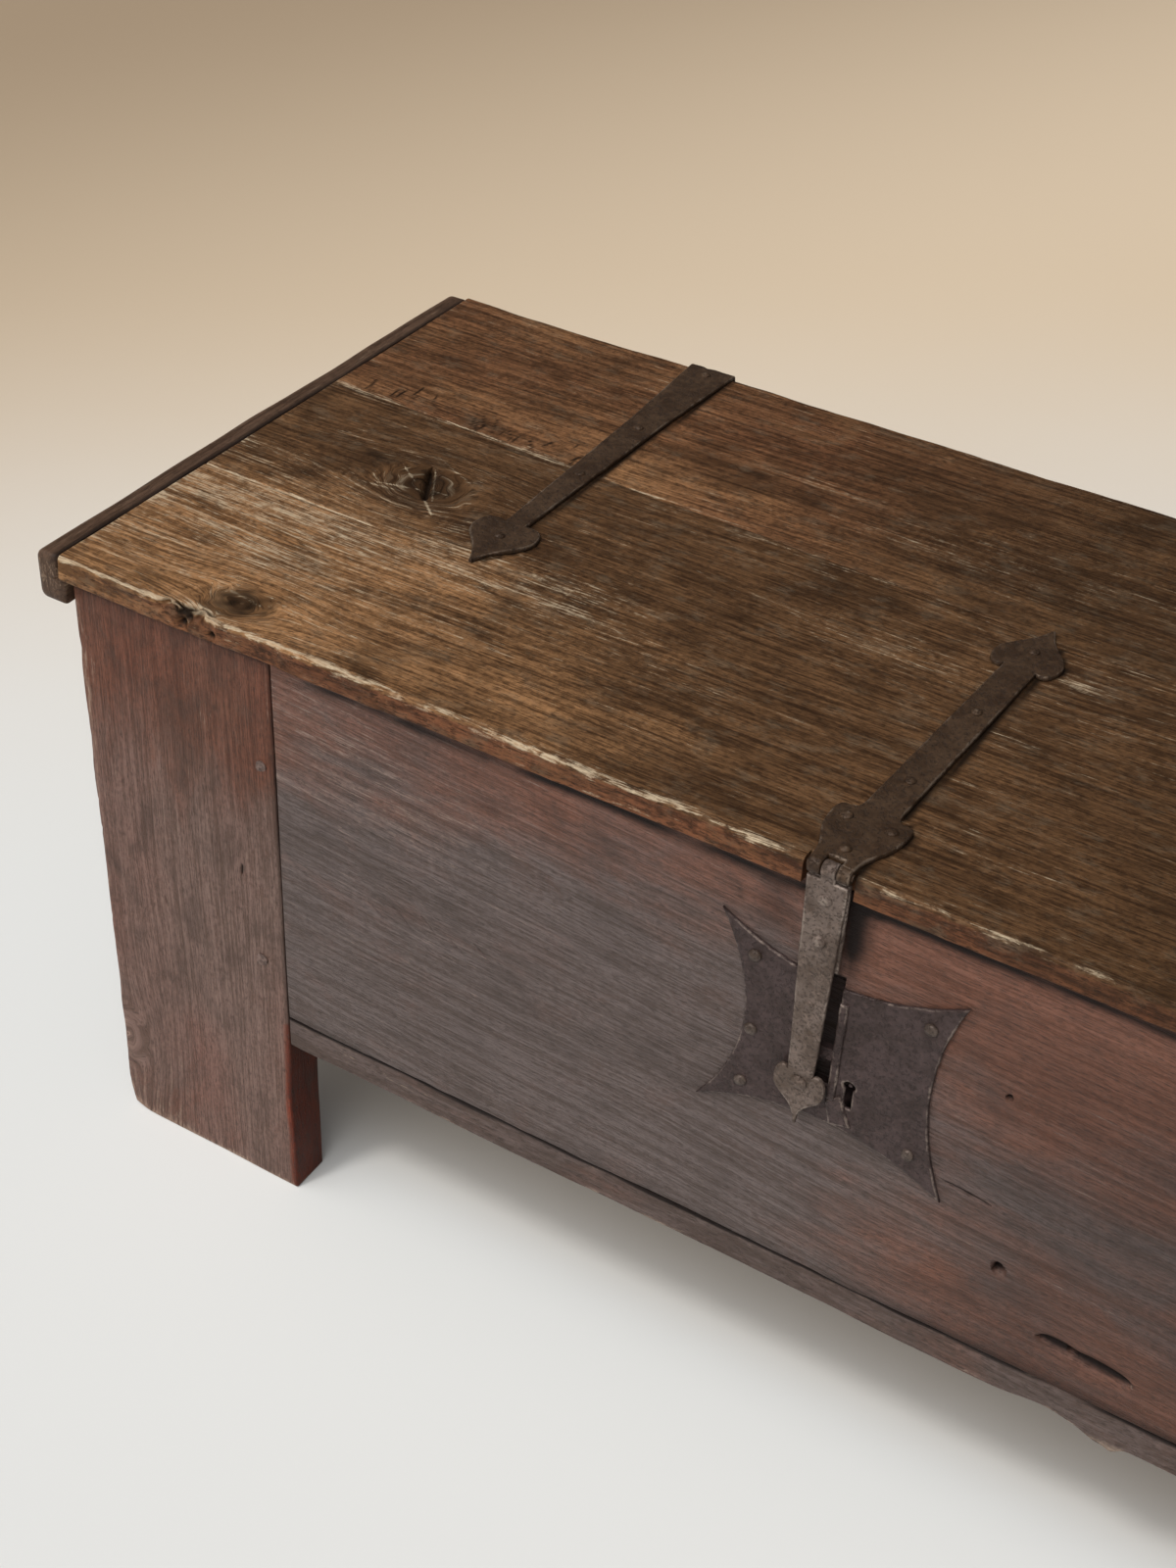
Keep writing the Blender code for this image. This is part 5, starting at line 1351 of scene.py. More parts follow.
        return Plank(
            "lid_board_rear_worn", (-LID_END, LID_JOINT_RIGHT + GAP, LID_TOP), *LYING,
            (length, BACK - LID_JOINT_RIGHT - GAP, thick), 17, step=(0.0055, 0.005),
            arris=(0.0009, 0.0022),
            low_edge=lambda u: fall * (1 - u / length), rub=(0.15, 0.3, 0.15),
            marks=tuple(flecks), windows=(((0.015, 0.245, 0.0018), (0.030, 0.090, 0.0018)),),
            wear=wear, stain=stain, blush=blush, ruddy=ruddy,
        )


class CHEST_OT_lid_cleats(bpy.types.Operator):
    """Make the dark cleats across the ends of the lid"""

    bl_idname = "chest.lid_cleats"
    bl_label = "Lid cleats"

    def execute(self, context):
        oak = finishes()["cleat_oak"]
        length = BACK - LID_FRONT
        for side, way in SIDES.items():
            section = self.section()
            y = lines(length, 0.007, [(0, 0.006, 0.001), (length - 0.006, length, 0.001)])
            seed = 31 + way
            end = np.minimum(y, y[-1] - y)
            inset = rounding(end, 0.005)
            middle = np.array(((LID_END + CLEAT_HIGH.x) / 2, (CLEAT_LOW.z + LID_TOP) / 2))
            half = np.array(((CLEAT_HIGH.x - LID_END) / 2, (LID_TOP - CLEAT_LOW.z) / 2))
            share = 1 - inset[:, None, None] / half[None, None, :]
            points = middle + (section[None] - middle) * share
            outer = section[:, 0] > LID_END + 0.008
            points[:, :, 0] += wander(y, 0.06, 0.0011, seed)[:, None] * outer[None]
            points[:, :, 1] += wander(y, 0.05, 0.0007, seed + 3)[:, None]
            out, up = points[:, :, 0], points[:, :, 1]
            along = y[:, None] + 0 * out
            places = np.stack((way * out, LID_FRONT + along, up), axis=2).reshape(-1, 3)
            edge = np.exp(-np.hypot(out - CLEAT_HIGH.x, up - LID_TOP) / 0.006)
            tip = np.exp(-end / 0.010)[:, None] + 0 * along
            rubbed = mottle(along, up, 0.03, 0.01, seed + 5)
            seam = np.exp(-np.hypot(out - LID_END, up - LID_TOP) / 0.003)
            fields = skin(
                np.stack((along, out, up), axis=2) + seed,
                wear=0.12 + 0.5 * edge + 0.12 * tip + 0.25 * rubbed,
                stain=0.75 * seam + 0.15, blush=np.zeros_like(along),
            )
            cleat = add_object(f"lid_cleat_{side}_worn", places, loft_faces(*out.shape), fields, oak)
            dress(cleat, "lid", "cleat_oak", f"lid_cleat_{side}")
        return {"FINISHED"}

    @staticmethod
    def section():
        """Section of the right cleat: rounded outside, a lip under the lid's boards."""
        inner = LID_END + GAP
        outer = CLEAT_HIGH.x
        foot = CLEAT_LOW.z
        ledge = LID_UNDER - GAP
        turn = CLEAT_CORNER
        pull = 0.45 * turn
        corners = [(inner, LID_TOP - 0.001), (inner, ledge), (CLEAT_LOW.x, ledge), (CLEAT_LOW.x, foot)]
        corners.append((outer - turn, foot))
        corners += bend(corners[-1], (outer - pull, foot), (outer, foot + pull), (outer, foot + turn), 5)
        corners.append((outer, LID_TOP - turn))
        corners += bend(
            corners[-1], (outer, LID_TOP - pull), (outer - pull, LID_TOP), (outer - turn, LID_TOP), 5)
        corners.append((inner + 0.001, LID_TOP))
        return even(corners, 0.004)


class CHEST_OT_front(bpy.types.Operator):
    """Make the front board and its two stiles, which run down as legs"""

    bl_idname = "chest.front"
    bl_label = "Front board and stiles"

    def execute(self, context):
        oaks = finishes()
        left = -STILE_INNER + GAP

        def at(x, z):
            return x - left, z - BOARD_FOOT

        def around(x, z, wide, tall, fine):
            u, v = at(x, z)
            return (u - wide, u + wide, fine), (v - tall, v + tall, 0.6 * fine)

        def board_wear(u, v, w):
            left_end = 0.28 * spot(u, v, at(-0.38, 0.46), (0.12, 0.06))
            return 0.08 + 0.14 * mottle(u, v, 0.16, 0.03, 43) + left_end

        def board_stain_and_shade(u, v, w):
            near_hasp = patches(
                u, v, (1.1, at(0.004, 0.526), (0.012, 0.028)), (0.65, at(0.006, 0.488), (0.010, 0.030)))
            near_hasp = near_hasp * (1 + 0.25 * mottle(u, v, 0.004, 0.02, 45))
            near_hasp = near_hasp + 0.50 * spot(u, v, at(-0.05, 0.51), (0.02, 0.04))
            round_plate = 0.12 * spot(u, v, at(0.0, 0.40), (0.13, 0.12))
            smudge = 0.45 * spot(u, v, at(-0.263, 0.488), (0.022, 0.010))
            below = STILE_TOP - BOARD_FOOT - v
            # Painted shadow under the lid: a dark line below its edge, and shade fading down from the top.
            lid_shadow = painted_lid_shadow(below, 0.0098 + 0.0020 * mottle(u, v, 0.025, 0.05, 44), 0.0007)
            under_lid = np.maximum(lid_shadow, 0.34 * np.exp(-below / 0.020))
            foot = 0.35 * np.exp(-v / 0.008)
            dull = 0.04 + 0.36 * ramp(u - 0.44, 0.16) * ramp(0.33 - v, 0.06)
            dull = dull + 0.05 * mottle(u, v, 0.14, 0.05, 41)
            return np.maximum.reduce([near_hasp, round_plate + dull, smudge, under_lid, foot + dull])

        def board_blush(u, v, w):
            under_lid = 0.58 * ramp(v - 0.225 + 0.04 * (u - 0.3), 0.11)
            low = 0.22 * ramp(0.13 - v, 0.08)
            right = 1.3 * spot(u, v, at(0.13, 0.52), (0.15, 0.060)) + (0.48 + low) * ramp(u - 0.40, 0.22)
            left = 0.16 * spot(u, v, at(-0.40, 0.46), (0.12, 0.07))
            return 0.06 + left + np.maximum(under_lid, right) + 0.20 * mottle(u, v, 0.10, 0.05, 42)

        hole = [*at(CASE_HOLE[0], CASE_HOLE[2]), *at(CASE_HOLE[1], CASE_HOLE[3])]
        relief = [*at(RELIEF[0], RELIEF[2]), *at(RELIEF[1], RELIEF[3])]
        scratches = [
            Mark(
                *at(-0.36 + 0.023 * number, 0.35 + 0.004 * (number % 3)),
                0.018 + 0.004 * (number % 2), 0.0020,
                math.radians(-34 - 5 * (number % 3)), 0.0005, 0.40, 0.0,
            )
            for number in range(5)
        ]
        board = add_plank(Plank(
            "front_board_worn", (left, FRONT, BOARD_FOOT), (1, 0, 0), (0, 0, 1), (0, -1, 0),
            (-2 * left, STILE_TOP - BOARD_FOOT, FRONT_THICK), 23, step=(0.009, 0.007),
            arris=(0.0014, 0.0014), slant=0.06, rub=(0.12, 0.12, 0.10),
            recesses=(
                (hole[0], hole[2], hole[1], hole[3], FRONT_THICK - 0.0005),
                (relief[0], relief[2], relief[1], relief[3], RELIEF_DEPTH),
            ),
            windows=(
                around(0.207, 0.233, 0.036, 0.007, 0.0024), around(0.138, 0.280, 0.007, 0.007, 0.0014),
            ),
            marks=(
                Mark(*at(0.138, 0.280), 0.0100, 0.0092, 0.6, 0.0080, 1.0, 0.0),
                Mark(*at(0.120, 0.429), 0.0045, 0.0045, 0.0, 0.0040, 1.0, 0.0),
                Mark(*at(0.1875, 0.2347), 0.029, 0.0105, math.radians(-3), 0.0050, 1.0, 0.0),
                Mark(*at(0.2165, 0.2316), 0.047, 0.0115, math.radians(-5), 0.0055, 1.0, 0.0),
                Mark(*at(0.2375, 0.2288), 0.008, 0.0030, math.radians(-5), 0.0, 0.0, 0.9),
                Mark(*at(0.107, 0.334), 0.034, 0.0028, math.radians(-6), 0.0018, 0.8, 0.0),
                *scratches,
            ),
            wear=board_wear, stain=board_stain_and_shade, blush=board_blush,
        ), oaks["front_oak"])
        dress(board, "chest", "front_oak", "front_board")
        for side, way in SIDES.items():
            stile = add_plank(self.stile(side, way), oaks["stile_oak"])
            dress(stile, "chest", "stile_oak", f"front_stile_{side}")
        return {"FINISHED"}

    @staticmethod
    def stile(side, way):
        """Front stile: grain upright, outer edge worn and its foot frayed."""
        width = STILE_OUTER - STILE_INNER
        leg_top = 0.19

        def wear(u, v, w):
            foot = 0.35 * np.exp(-u / 0.05) * np.exp(-v / 0.06) + 0.75 * np.exp(-u / 0.0035)
            return 0.08 + foot + 0.15 * mottle(v, u, 0.02, 0.16, 51 + way)

        def stain(u, v, w):
            inner = 0.60 * np.exp(-np.abs(v - width) / 0.0025) * (u > leg_top)
            # Painted shade on the leg's inner side.
            leg = 0.50 * (v > width - 0.002) * (u < leg_top)
            below = STILE_TOP - u
            # Painted shadow under the lid's edge.
            lid_shadow = 0.9 * painted_lid_shadow(below, 0.0080, 0.0008)
            return np.maximum(lid_shadow, inner + leg + 0.05 + 0.08 * mottle(v, u, 0.04, 0.14, 53 + way))

        def ruddy(u, v, w):
            leg = 0.90 * (v > width - 0.003) * (u < leg_top)
            low = patches(u, v, (0.08, (0.08, 0.07), (0.09, 0.08)), (0.10, (0.30, 0.03), (0.14, 0.04)))
            return np.maximum(leg, low + 0.12 * np.clip(mottle(v, u, 0.045, 0.10, 57 + way), 0, 1))

        return Plank(
            f"front_stile_{side}_worn", (way * STILE_OUTER, FRONT, 0.0),
            (0, 0, 1), (-way, 0, 0), (0, -1, 0),
            (STILE_TOP, width, STILE_THICK), 61 + way, step=(0.005, 0.006), drift=0.25,
            arris=(0.0022, 0.0016), chip=0.0020, rub=(0.30, 0.15, 0.35), knots=((0.085, 0.004, 0.030),),
            marks=(
                Mark(0.3295, 0.141, 0.010, 0.0022, 0.1, 0.0015, 0.9, 0.0),
                Mark(0.2600, 0.062, 0.012, 0.0018, -0.2, 0.0008, 0.6, 0.0),
            ),
            dents=(
                ((0.0, 0.0, -0.006), (0.016, 0.012, 0.016), (0.003, 0.002, -0.002)),
                ((0.10, width, -0.010), (0.03, 0.006, 0.020), (0, -0.002, 0)),
            ),
            wear=wear, stain=stain, ruddy=ruddy,
            blush=lambda u, v, w: np.maximum(
                ramp(u - 0.34, 0.14), 1.0 * (v > width - 0.003) * (u < leg_top),
            ) + 0.45 * spot(u, v, (0.03, 0.05), (0.05, 0.07)) + 0.20 * mottle(v, u, 0.04, 0.09, 55),
        )


class CHEST_OT_back(bpy.types.Operator):
    """Make the back board and its two stiles"""

    bl_idname = "chest.back"
    bl_label = "Back board and stiles"

    def execute(self, context):
        oaks = finishes()
        width = STILE_OUTER - STILE_INNER
        left = -STILE_INNER + GAP
        board = add_plank(Plank(
            "back_board_worn", (left, BACK, BOARD_FOOT), (1, 0, 0), (0, 0, 1), (0, 1, 0),
            (-2 * left, STILE_TOP - BOARD_FOOT, BACK_THICK), 71,
            marks=(Mark(0.22, 0.12, 0.0050, 0.0050, 0.0, 0.004, 1.0, 0.0),),
            knots=((0.30, 0.20, 0.02),),
            windows=(((0.27, 0.33, 0.0016), (0.175, 0.225, 0.0016)),),
            wear=lambda u, v, w: 0.06 + 0.14 * mottle(u, v, 0.16, 0.03, 73),
            stain=lambda u, v, w: 0.14 + 0.14 * mottle(u, v, 0.2, 0.05, 74),
        ), oaks["inside_oak"])
        dress(board, "chest", "inside_oak", "back_board")
        for side, way in SIDES.items():
            stile = add_plank(Plank(
                f"back_stile_{side}_worn", (way * STILE_OUTER, BACK, 0.0),
                (0, 0, 1), (-way, 0, 0), (0, 1, 0),
                (STILE_TOP, width, STILE_THICK), 81 + way, drift=1.4, arris=(0.0034, 0.0016),
                dents=(((0.0, 0.0, -0.008), (0.024, 0.02, 0.02), (0.005, 0.003, -0.003)),),
                wear=lambda u, v, w: 0.08 + 0.4 * np.exp(-u / 0.04) + 0.14 * mottle(v, u, 0.02, 0.16, 83),
                stain=lambda u, v, w: 0.12 + 0.12 * mottle(v, u, 0.04, 0.14, 84),
            ), oaks["stile_oak"])
            dress(stile, "chest", "stile_oak", f"back_stile_{side}")
        return {"FINISHED"}


class CHEST_OT_ends(bpy.types.Operator):
    """Make the boards of the two ends"""

    bl_idname = "chest.ends"
    bl_label = "End boards"

    def execute(self, context):
        oak = finishes()["inside_oak"]
        for side, way in SIDES.items():
            board = add_plank(Plank(
                f"end_board_{side}_worn", (way * END_HIGH.x, END_LOW.y, END_LOW.z),
                (0, 1, 0), (0, 0, 1), (way, 0, 0),
                (END_HIGH.y - END_LOW.y, END_HIGH.z - END_LOW.z, END_THICK), 101 + way, drift=1.2,
                knots=((0.17, 0.24, 0.018),),
                marks=(
                    Mark(0.17, 0.24, 0.016, 0.0045, 0.3, 0.0016, 0.9, 0.0),
                    Mark(0.33, 0.10, 0.090, 0.0018, 0.02, 0.0012, 0.7, 0.0),
                ),
                wear=lambda u, v, w: 0.08 + 0.15 * mottle(u, v, 0.14, 0.03, 103),
                stain=lambda u, v, w: 0.12 + 0.12 * mottle(u, v, 0.2, 0.05, 104) + 0.25 * np.exp(-v / 0.02),
                windows=(((0.145, 0.195, 0.0016), (0.215, 0.265, 0.0016)),),
                blush=lambda u, v, w: 0.4 * ramp(v - 0.2, 0.15),
            ), oak)
            dress(board, "chest", "inside_oak", f"end_board_{side}")
        return {"FINISHED"}


class CHEST_OT_floor_boards(bpy.types.Operator):
    """Make the floor boards, whose front edge shows under the front board"""

    bl_idname = "chest.floor_boards"
    bl_label = "Floor boards"

    def execute(self, context):
        oak = finishes()["inside_oak"]
        half = FLOOR_HIGH.x
        length = 2 * half
        thick = FLOOR_HIGH.z - FLOOR_LOW.z
        shoulder = STILE_INNER - 0.0006
        step_in = STILE_THICK - 0.0037
        flush = 0.0033
        lip = thick + 0.0060
        splinter = half + 0.240
        edges = (half - shoulder, half + shoulder)

        def round_stiles(u):
            return np.where((u > edges[0]) & (u < edges[1]), 0.0, step_in)

        def flush_with_front(u):
            return np.where((u > edges[0]) & (u < edges[1]), -flush, step_in)

        def strip_wear(u, v, w):
            low = np.exp(-np.hypot(v + flush, w + thick) / 0.0035)
            tip = 0.7 * spot(u, w, (splinter, -thick), (0.007, 0.004)) * (v < 0.006)
            return 0.06 + tip + 0.55 * low + 0.15 * mottle(u, v + w, 0.12, 0.012, 113)

        def strip_stain(u, v, w):
            joint = fade((-w - 0.0030 - 0.0008 * mottle(u, v, 0.03, 0.05, 115)) / 0.0005)
            joint = joint * (1 - 0.9 * np.exp(-((u - splinter + 0.042) / 0.022) ** 2))
            return np.maximum(joint * (v < 0.01), 0.10 + 0.12 * mottle(u, v, 0.2, 0.05, 114))

        front = add_plank(Plank(
            "floor_board_front_worn", (-half, FLOOR_LOW.y, FLOOR_HIGH.z), *LYING,
            (length, FLOOR_HIGH.y - FLOOR_LOW.y, thick), 111,
            low_edge=flush_with_front, edges=edges, drift=0.5,
            arris=(0.0015, 0.0012),
            windows=(((half + 0.180, half + 0.256, 0.0022), (0.0, 0.006, 0.006)),),
            dents=(
                ((half, -flush, -thick), (9.0, 0.012, 0.012), (0, 0, thick - lip)),
                ((half + 0.188, -flush, -lip), (0.024, 0.010, 0.010), (0, 0.0010, 0.0044)),
                ((half + 0.230, -flush, -lip), (0.013, 0.008, 0.007), (0, -0.0010, -0.0040)),
                ((half + 0.239, -flush, -lip), (0.005, 0.007, 0.009), (0, -0.0012, -0.0032)),
                ((half + 0.330, 0.0, -thick), (0.030, 0.010, 0.008), (0, 0.002, -0.0025)),
                ((half - 0.060, 0.0, -thick), (0.120, 0.010, 0.008), (0, 0.001, 0.002)),
            ),
            wear=strip_wear, stain=strip_stain,
            blush=lambda u, v, w: 0.10 + 0.30 * mottle(u, v, 0.09, 0.05, 116) + 0.25 * ramp(u - half, 0.3),
        ), oak)
        dress(front, "chest", "inside_oak", "floor_board_front")
        rear = add_plank(Plank(
            "floor_board_rear_worn", (-half, FLOOR_REAR_LOW.y, FLOOR_HIGH.z), *LYING,
            (length, FLOOR_REAR_HIGH.y - FLOOR_REAR_LOW.y, thick), 117,
            high_edge=round_stiles, edges=edges,
            wear=lambda u, v, w: 0.08 + 0.15 * mottle(u, v, 0.12, 0.03, 118),
            stain=lambda u, v, w: 0.14 + 0.14 * mottle(u, v, 0.2, 0.05, 119),
        ), oak)
        dress(rear, "chest", "inside_oak", "floor_board_rear")
        return {"FINISHED"}


class CHEST_OT_pegs(bpy.types.Operator):
    """Set the oak pegs that hold the tenons in the stiles"""

    bl_idname = "chest.pegs"
    bl_label = "Oak pegs"

    def execute(self, context):
        sizes = context.scene.plank_chest_sizes
        tree = fastening_tree("oak_pegs", {"Radius": 0.005, "Height": PEG_LENGTH}, whittled_peg)
        spots = []
        for way in SIDES.values():
            for x, z in PEG_SPOTS:
                spots.append(((way * x, FRONT + PEG_SINK, z), (0, -1, 0), (1, 1, 1)))
                spots.append(((way * x, BACK - PEG_SINK, z), (0, 1, 0), (1, 1, 1)))
        pegs = grow("oak_pegs", tree, spots, {
            "Radius": sizes.peg_radius, "Height": PEG_LENGTH, "Seed": 5, "Finish": finishes()["peg_oak"],
        })
        names = [f"front_peg_{side}_{number}" for side in SIDES for number in (1, 2, 3)]
        dress(pegs, "chest", "peg_oak", *names)
        return {"FINISHED"}


class CHEST_OT_hinges(bpy.types.Operator):
    """Forge the strap hinges with their leaves and knuckles"""

    bl_idname = "chest.hinges"
    bl_label = "Strap hinges"

    def execute(self, context):
        iron = finishes()["strap_iron"]
        for side, way in SIDES.items():
            strap = add_iron(f"hinge_strap_{side}_forged", self.strap(way), iron)
            dress(strap, "lid", "strap_iron", f"hinge_strap_{side}")
            leaf = add_iron(f"hinge_leaf_{side}_forged", self.leaf(way), iron)
            dress(leaf, "chest", "strap_iron", f"hinge_leaf_{side}")
            recoat(iron, f"hinge_pin_{side}")
        return {"FINISHED"}

    @staticmethod
    def strap(way):
        """Strap over the lid, turned down at its back edge, with its two knuckles."""
        half = HINGE_WIDTH / 2
        notch = HINGE_KNUCKLE / 2 + GAP
        lid_start = HINGE_DROP + HINGE_TURN
        edge = [(notch, HINGE_CLEAR), (notch, 0.0), (half, 0.0), (half, lid_start)]
        edge.append((0.014, lid_start + 0.112))
        edge += heart_edge(0.017, 0.054, 0.060, lid_start + 0.306)

        def over_lid(across, along, rise):
            turn = ramp(along - HINGE_DROP, HINGE_TURN) * math.pi / 2
            y = BACK + GAP + rise * np.cos(turn) - np.maximum(along - lid_start, 0)
            z = HINGE_Z + np.minimum(along, HINGE_DROP) + rise * np.sin(turn)
            return way * HINGE_X + across, y, z

        plate = lay(forged([both_sides(edge)], IRON, 131 + way), over_lid)
        return [plate, *knuckle_pair(way * HINGE_X, notch, half, HINGE_Y, HINGE_Z, HINGE_RADIUS, 141)]

    @staticmethod
    def leaf(way):
        """Leaf on the back board with the middle knuckle."""
        knuckle = HINGE_KNUCKLE / 2 - GAP
        edge = [(knuckle, 0.0), (knuckle, HINGE_CLEAR), (0.019, HINGE_CLEAR)]
        edge += heart_edge(0.020, 0.044, 0.046, 0.150)
        plate = lay(forged([both_sides(edge)], IRON, 151 + way), lambda across, along, rise: (
            way * HINGE_X + across, BACK + GAP + rise, HINGE_Z - along,
        ))
        middle = way * HINGE_X
        return [plate, barrel(middle - knuckle, middle + knuckle, HINGE_Y, HINGE_Z, HINGE_RADIUS, 157)]


class CHEST_OT_hasp(bpy.types.Operator):
    """Forge the hasp and the strap it hangs from, and finish its pin and the staple on its back"""

    bl_idname = "chest.hasp"
    bl_label = "Hasp"

    def execute(self, context):
        irons = finishes()
        strap = add_iron("hasp_strap_forged", self.strap(), irons["strap_iron"])
        dress(strap, "lid", "strap_iron", "hasp_strap")
        plate = add_iron("hasp_plate_forged", self.plate(), irons["hasp_iron"])
        dress(plate, "hasp", "strap_iron", "hasp_plate")
        recoat(irons["strap_iron"], "hasp_pin", "hasp_staple")
        return {"FINISHED"}

    @staticmethod
    def strap():
        """Strap on the lid: shoulders, a long neck, a heart, and two knuckles in front."""
        notch = HASP_EYE + GAP
        edge = [(notch, HASP_CLEAR), (notch, 0.0), (HASP_HALF, 0.0)]
        edge += bend(edge[-1], (HASP_HALF, 0.022), (0.0265, 0.022), (0.0265, 0.050))
        edge += bend(edge[-1], (0.0265, 0.068), (0.013, 0.050), (0.013, 0.068))
        edge += heart_edge(0.024, 0.050, 0.057, 0.262)
        plate = lay(forged([both_sides(edge)], IRON, 163), lambda across, along, rise: (
            HASP_X + HASP_LEAN * along + across, HASP_Y + along, LID_TOP + GAP + rise,
        ))
        return [plate, *knuckle_pair(HASP_X, notch, HASP_HALF, HASP_Y, HASP_Z, HASP_RADIUS, 167)]

    @staticmethod
    def plate():
        """Hanging plate with a heart end, its tail folded behind, and its eye."""
        half = HASP_HALF - GAP
        eye = HASP_EYE - GAP
        top = [(eye, 0.0), (eye, 0.0078), (half, 0.0078)]
        edge = top + heart_edge(0.0185, 0.037, 0.046, 0.1703, waist=1.0)
        front = lay(forged([both_sides(edge)], HASP_IRON, 173, grid=0.0035), lambda across, along, rise: (
            HASP_X + across, HASP_BACK - rise, HASP_Z - along,
        ))
        tail_edge = top + [(half, HASP_Z - TAIL_FOOT)]
        tail = lay(forged([both_sides(tail_edge)], HASP_IRON, 179), lambda across, along, rise: (
            HASP_X + across, TAIL_BACK - rise, HASP_Z - along,
        ))
        return [front, tail, barrel(HASP_X - eye, HASP_X + eye, HASP_Y, HASP_Z, HASP_RADIUS, 181)]


class CHEST_OT_lock(bpy.types.Operator):
    """Forge the lock plate with its slot, rim and keyhole, and finish the works behind it"""

    bl_idname = "chest.lock"
    bl_label = "Lock"

    def execute(self, context):
        iron = finishes()["lock_iron"]

        def on_front(across, along, rise):
            return across, PLATE_BACK - rise, along

        plate = lay(forged([self.outline(), self.keyhole()], PLATE_IRON, 191, grid=0.0035), on_front)
        left, right, foot, top, proud = RIM
        bar = [(left, foot), (right, foot), (right, top), (left, top)]
        rim = lay(forged([bar], proud, 193, grid=0.003, arris=0.0010), on_front)
        tongue = lay(forged([TONGUE], PLATE_IRON + 0.0014, 197, grid=0.003, arris=0.0012), on_front)
        made = add_iron("lock_plate_forged", [plate, rim, tongue], iron)
        dress(made, "chest", "lock_iron", "lock_plate")
        recoat(iron, "lock_case", "lock_bolt", "bolt_spring", "key_pin")
        return {"FINISHED"}

    @staticmethod
    def outline():
        """Four drawn-out corners with hollow sides, and the slot open at the top."""
        left, right, foot = SLOT
        top_side = 2
        outline = []
        for number, hollow in enumerate(PLATE_HOLLOWS):
            here = np.array(PLATE_CORNERS[number])
            run = np.array(PLATE_CORNERS[(number + 1) % 4]) - here
            normal = np.array((-run[1], run[0])) / np.linalg.norm(run)
            for part in np.linspace(0, 1, 40, endpoint=False):
                x, rise = here + part * run + 4 * part * (1 - part) * hollow * normal
                if number == top_side and left <= x <= right:
                    if outline[-1][1] > foot:
                        outline += [(right, outline[-1][1]), (right, foot), (left, foot)]
                    level = LOCK_Z + rise
                    continue
                if number == top_side and outline[-1] == (left, foot):
                    outline.append((left, level))
                outline.append((x, LOCK_Z + rise))
        return outline

    @staticmethod
    def keyhole():
        """Round head with a straight slot under it."""
        x, z, radius, width, drop = KEYHOLE
        half = width / 2
        meet = math.asin(half / radius)
        outline = [(x - half, z - drop), (x + half, z - drop)]
        for angle in np.linspace(meet - math.pi / 2, 1.5 * math.pi - meet, 14):
            outline.append((x + radius * math.cos(angle), z + radius * math.sin(angle)))
        return outline


class CHEST_OT_nails(bpy.types.Operator):
    """Drive the forged nails and close the hasp's rivets"""

    bl_idname = "chest.nails"
    bl_label = "Nails and rivets"

    def execute(self, context):
        sizes = context.scene.plank_chest_sizes
        iron = finishes()["nail_iron"]
        tree = fastening_tree("forged_heads", {"Radius": 0.005, "Height": 0.002}, domed_head)
        strap_top = LID_TOP + GAP + IRON
        up, front, back = (0, 0, 1), (0, -1, 0), (0, 1, 0)
        flat = (0.9, 0.9, 0.8)
        full = (1, 1, 1)
        lid_spots = [(way * HINGE_X, BACK - reach) for way in SIDES.values() for reach in HINGE_REACHES]
        lid_spots += [(HASP_X + HASP_LEAN * reach, HASP_Y + reach) for reach in HASP_NAIL_REACHES]
        reach, spread = HASP_SHOULDER_NAIL
        lid_spots += [(HASP_X + HASP_LEAN * reach + hand * spread, HASP_Y + reach) for hand in (-1, 1)]
        nails = {"Radius": sizes.nail_radius, "Height": sizes.nail_height, "Finish": iron}
        strap_nails = {**nails, "Finish": finishes()["strap_iron"], "Seed": 7}
        lid_spots = [((x, y, strap_top), up, flat) for x, y in lid_spots]
        lid_nails = grow("lid_nails", tree, lid_spots, strap_nails)
        dress(
            lid_nails, "lid", "nail_iron",
            *(f"hinge_nail_{side}_{number}" for side in SIDES for number in range(1, 5)),
            *(f"hasp_strap_nail_{number}" for number in range(1, 7)),
        )
        plate_face = PLATE_BACK - PLATE_IRON
        chest_spots = [((x, plate_face, LOCK_Z + rise), front, full) for x, rise in PLATE_NAILS]
        chest_spots += [
            ((way * HINGE_X, BACK + GAP + IRON, HINGE_Z - drop), back, flat)
            for way in SIDES.values() for drop in LEAF_NAIL_DROPS
        ]
        chest_nails = grow("chest_nails", tree, chest_spots, {**nails, "Seed": 11})
        names = [f"lock_plate_nail_{number}" for number in range(1, 6)]
        dress(chest_nails, "chest", "nail_iron", *names)
        rivet_spots = [
            ((HASP_X, HASP_BACK - HASP_IRON, z), front, share)
            for z, share in zip(RIVET_HEIGHTS, RIVET_SHARES)
        ]
        rivet_spots += [((HASP_X, TAIL_BACK, z), back, flat) for z in RIVET_HEIGHTS[:2]]
        rivets = grow("hasp_rivets", tree, rivet_spots, {
            "Radius": sizes.rivet_radius, "Height": sizes.rivet_height,
            "Finish": finishes()["hasp_iron"], "Seed": 13,
        })
        dress(rivets, "hasp", "nail_iron", *(f"hasp_rivet_{number}" for number in range(1, 5)))
        return {"FINISHED"}


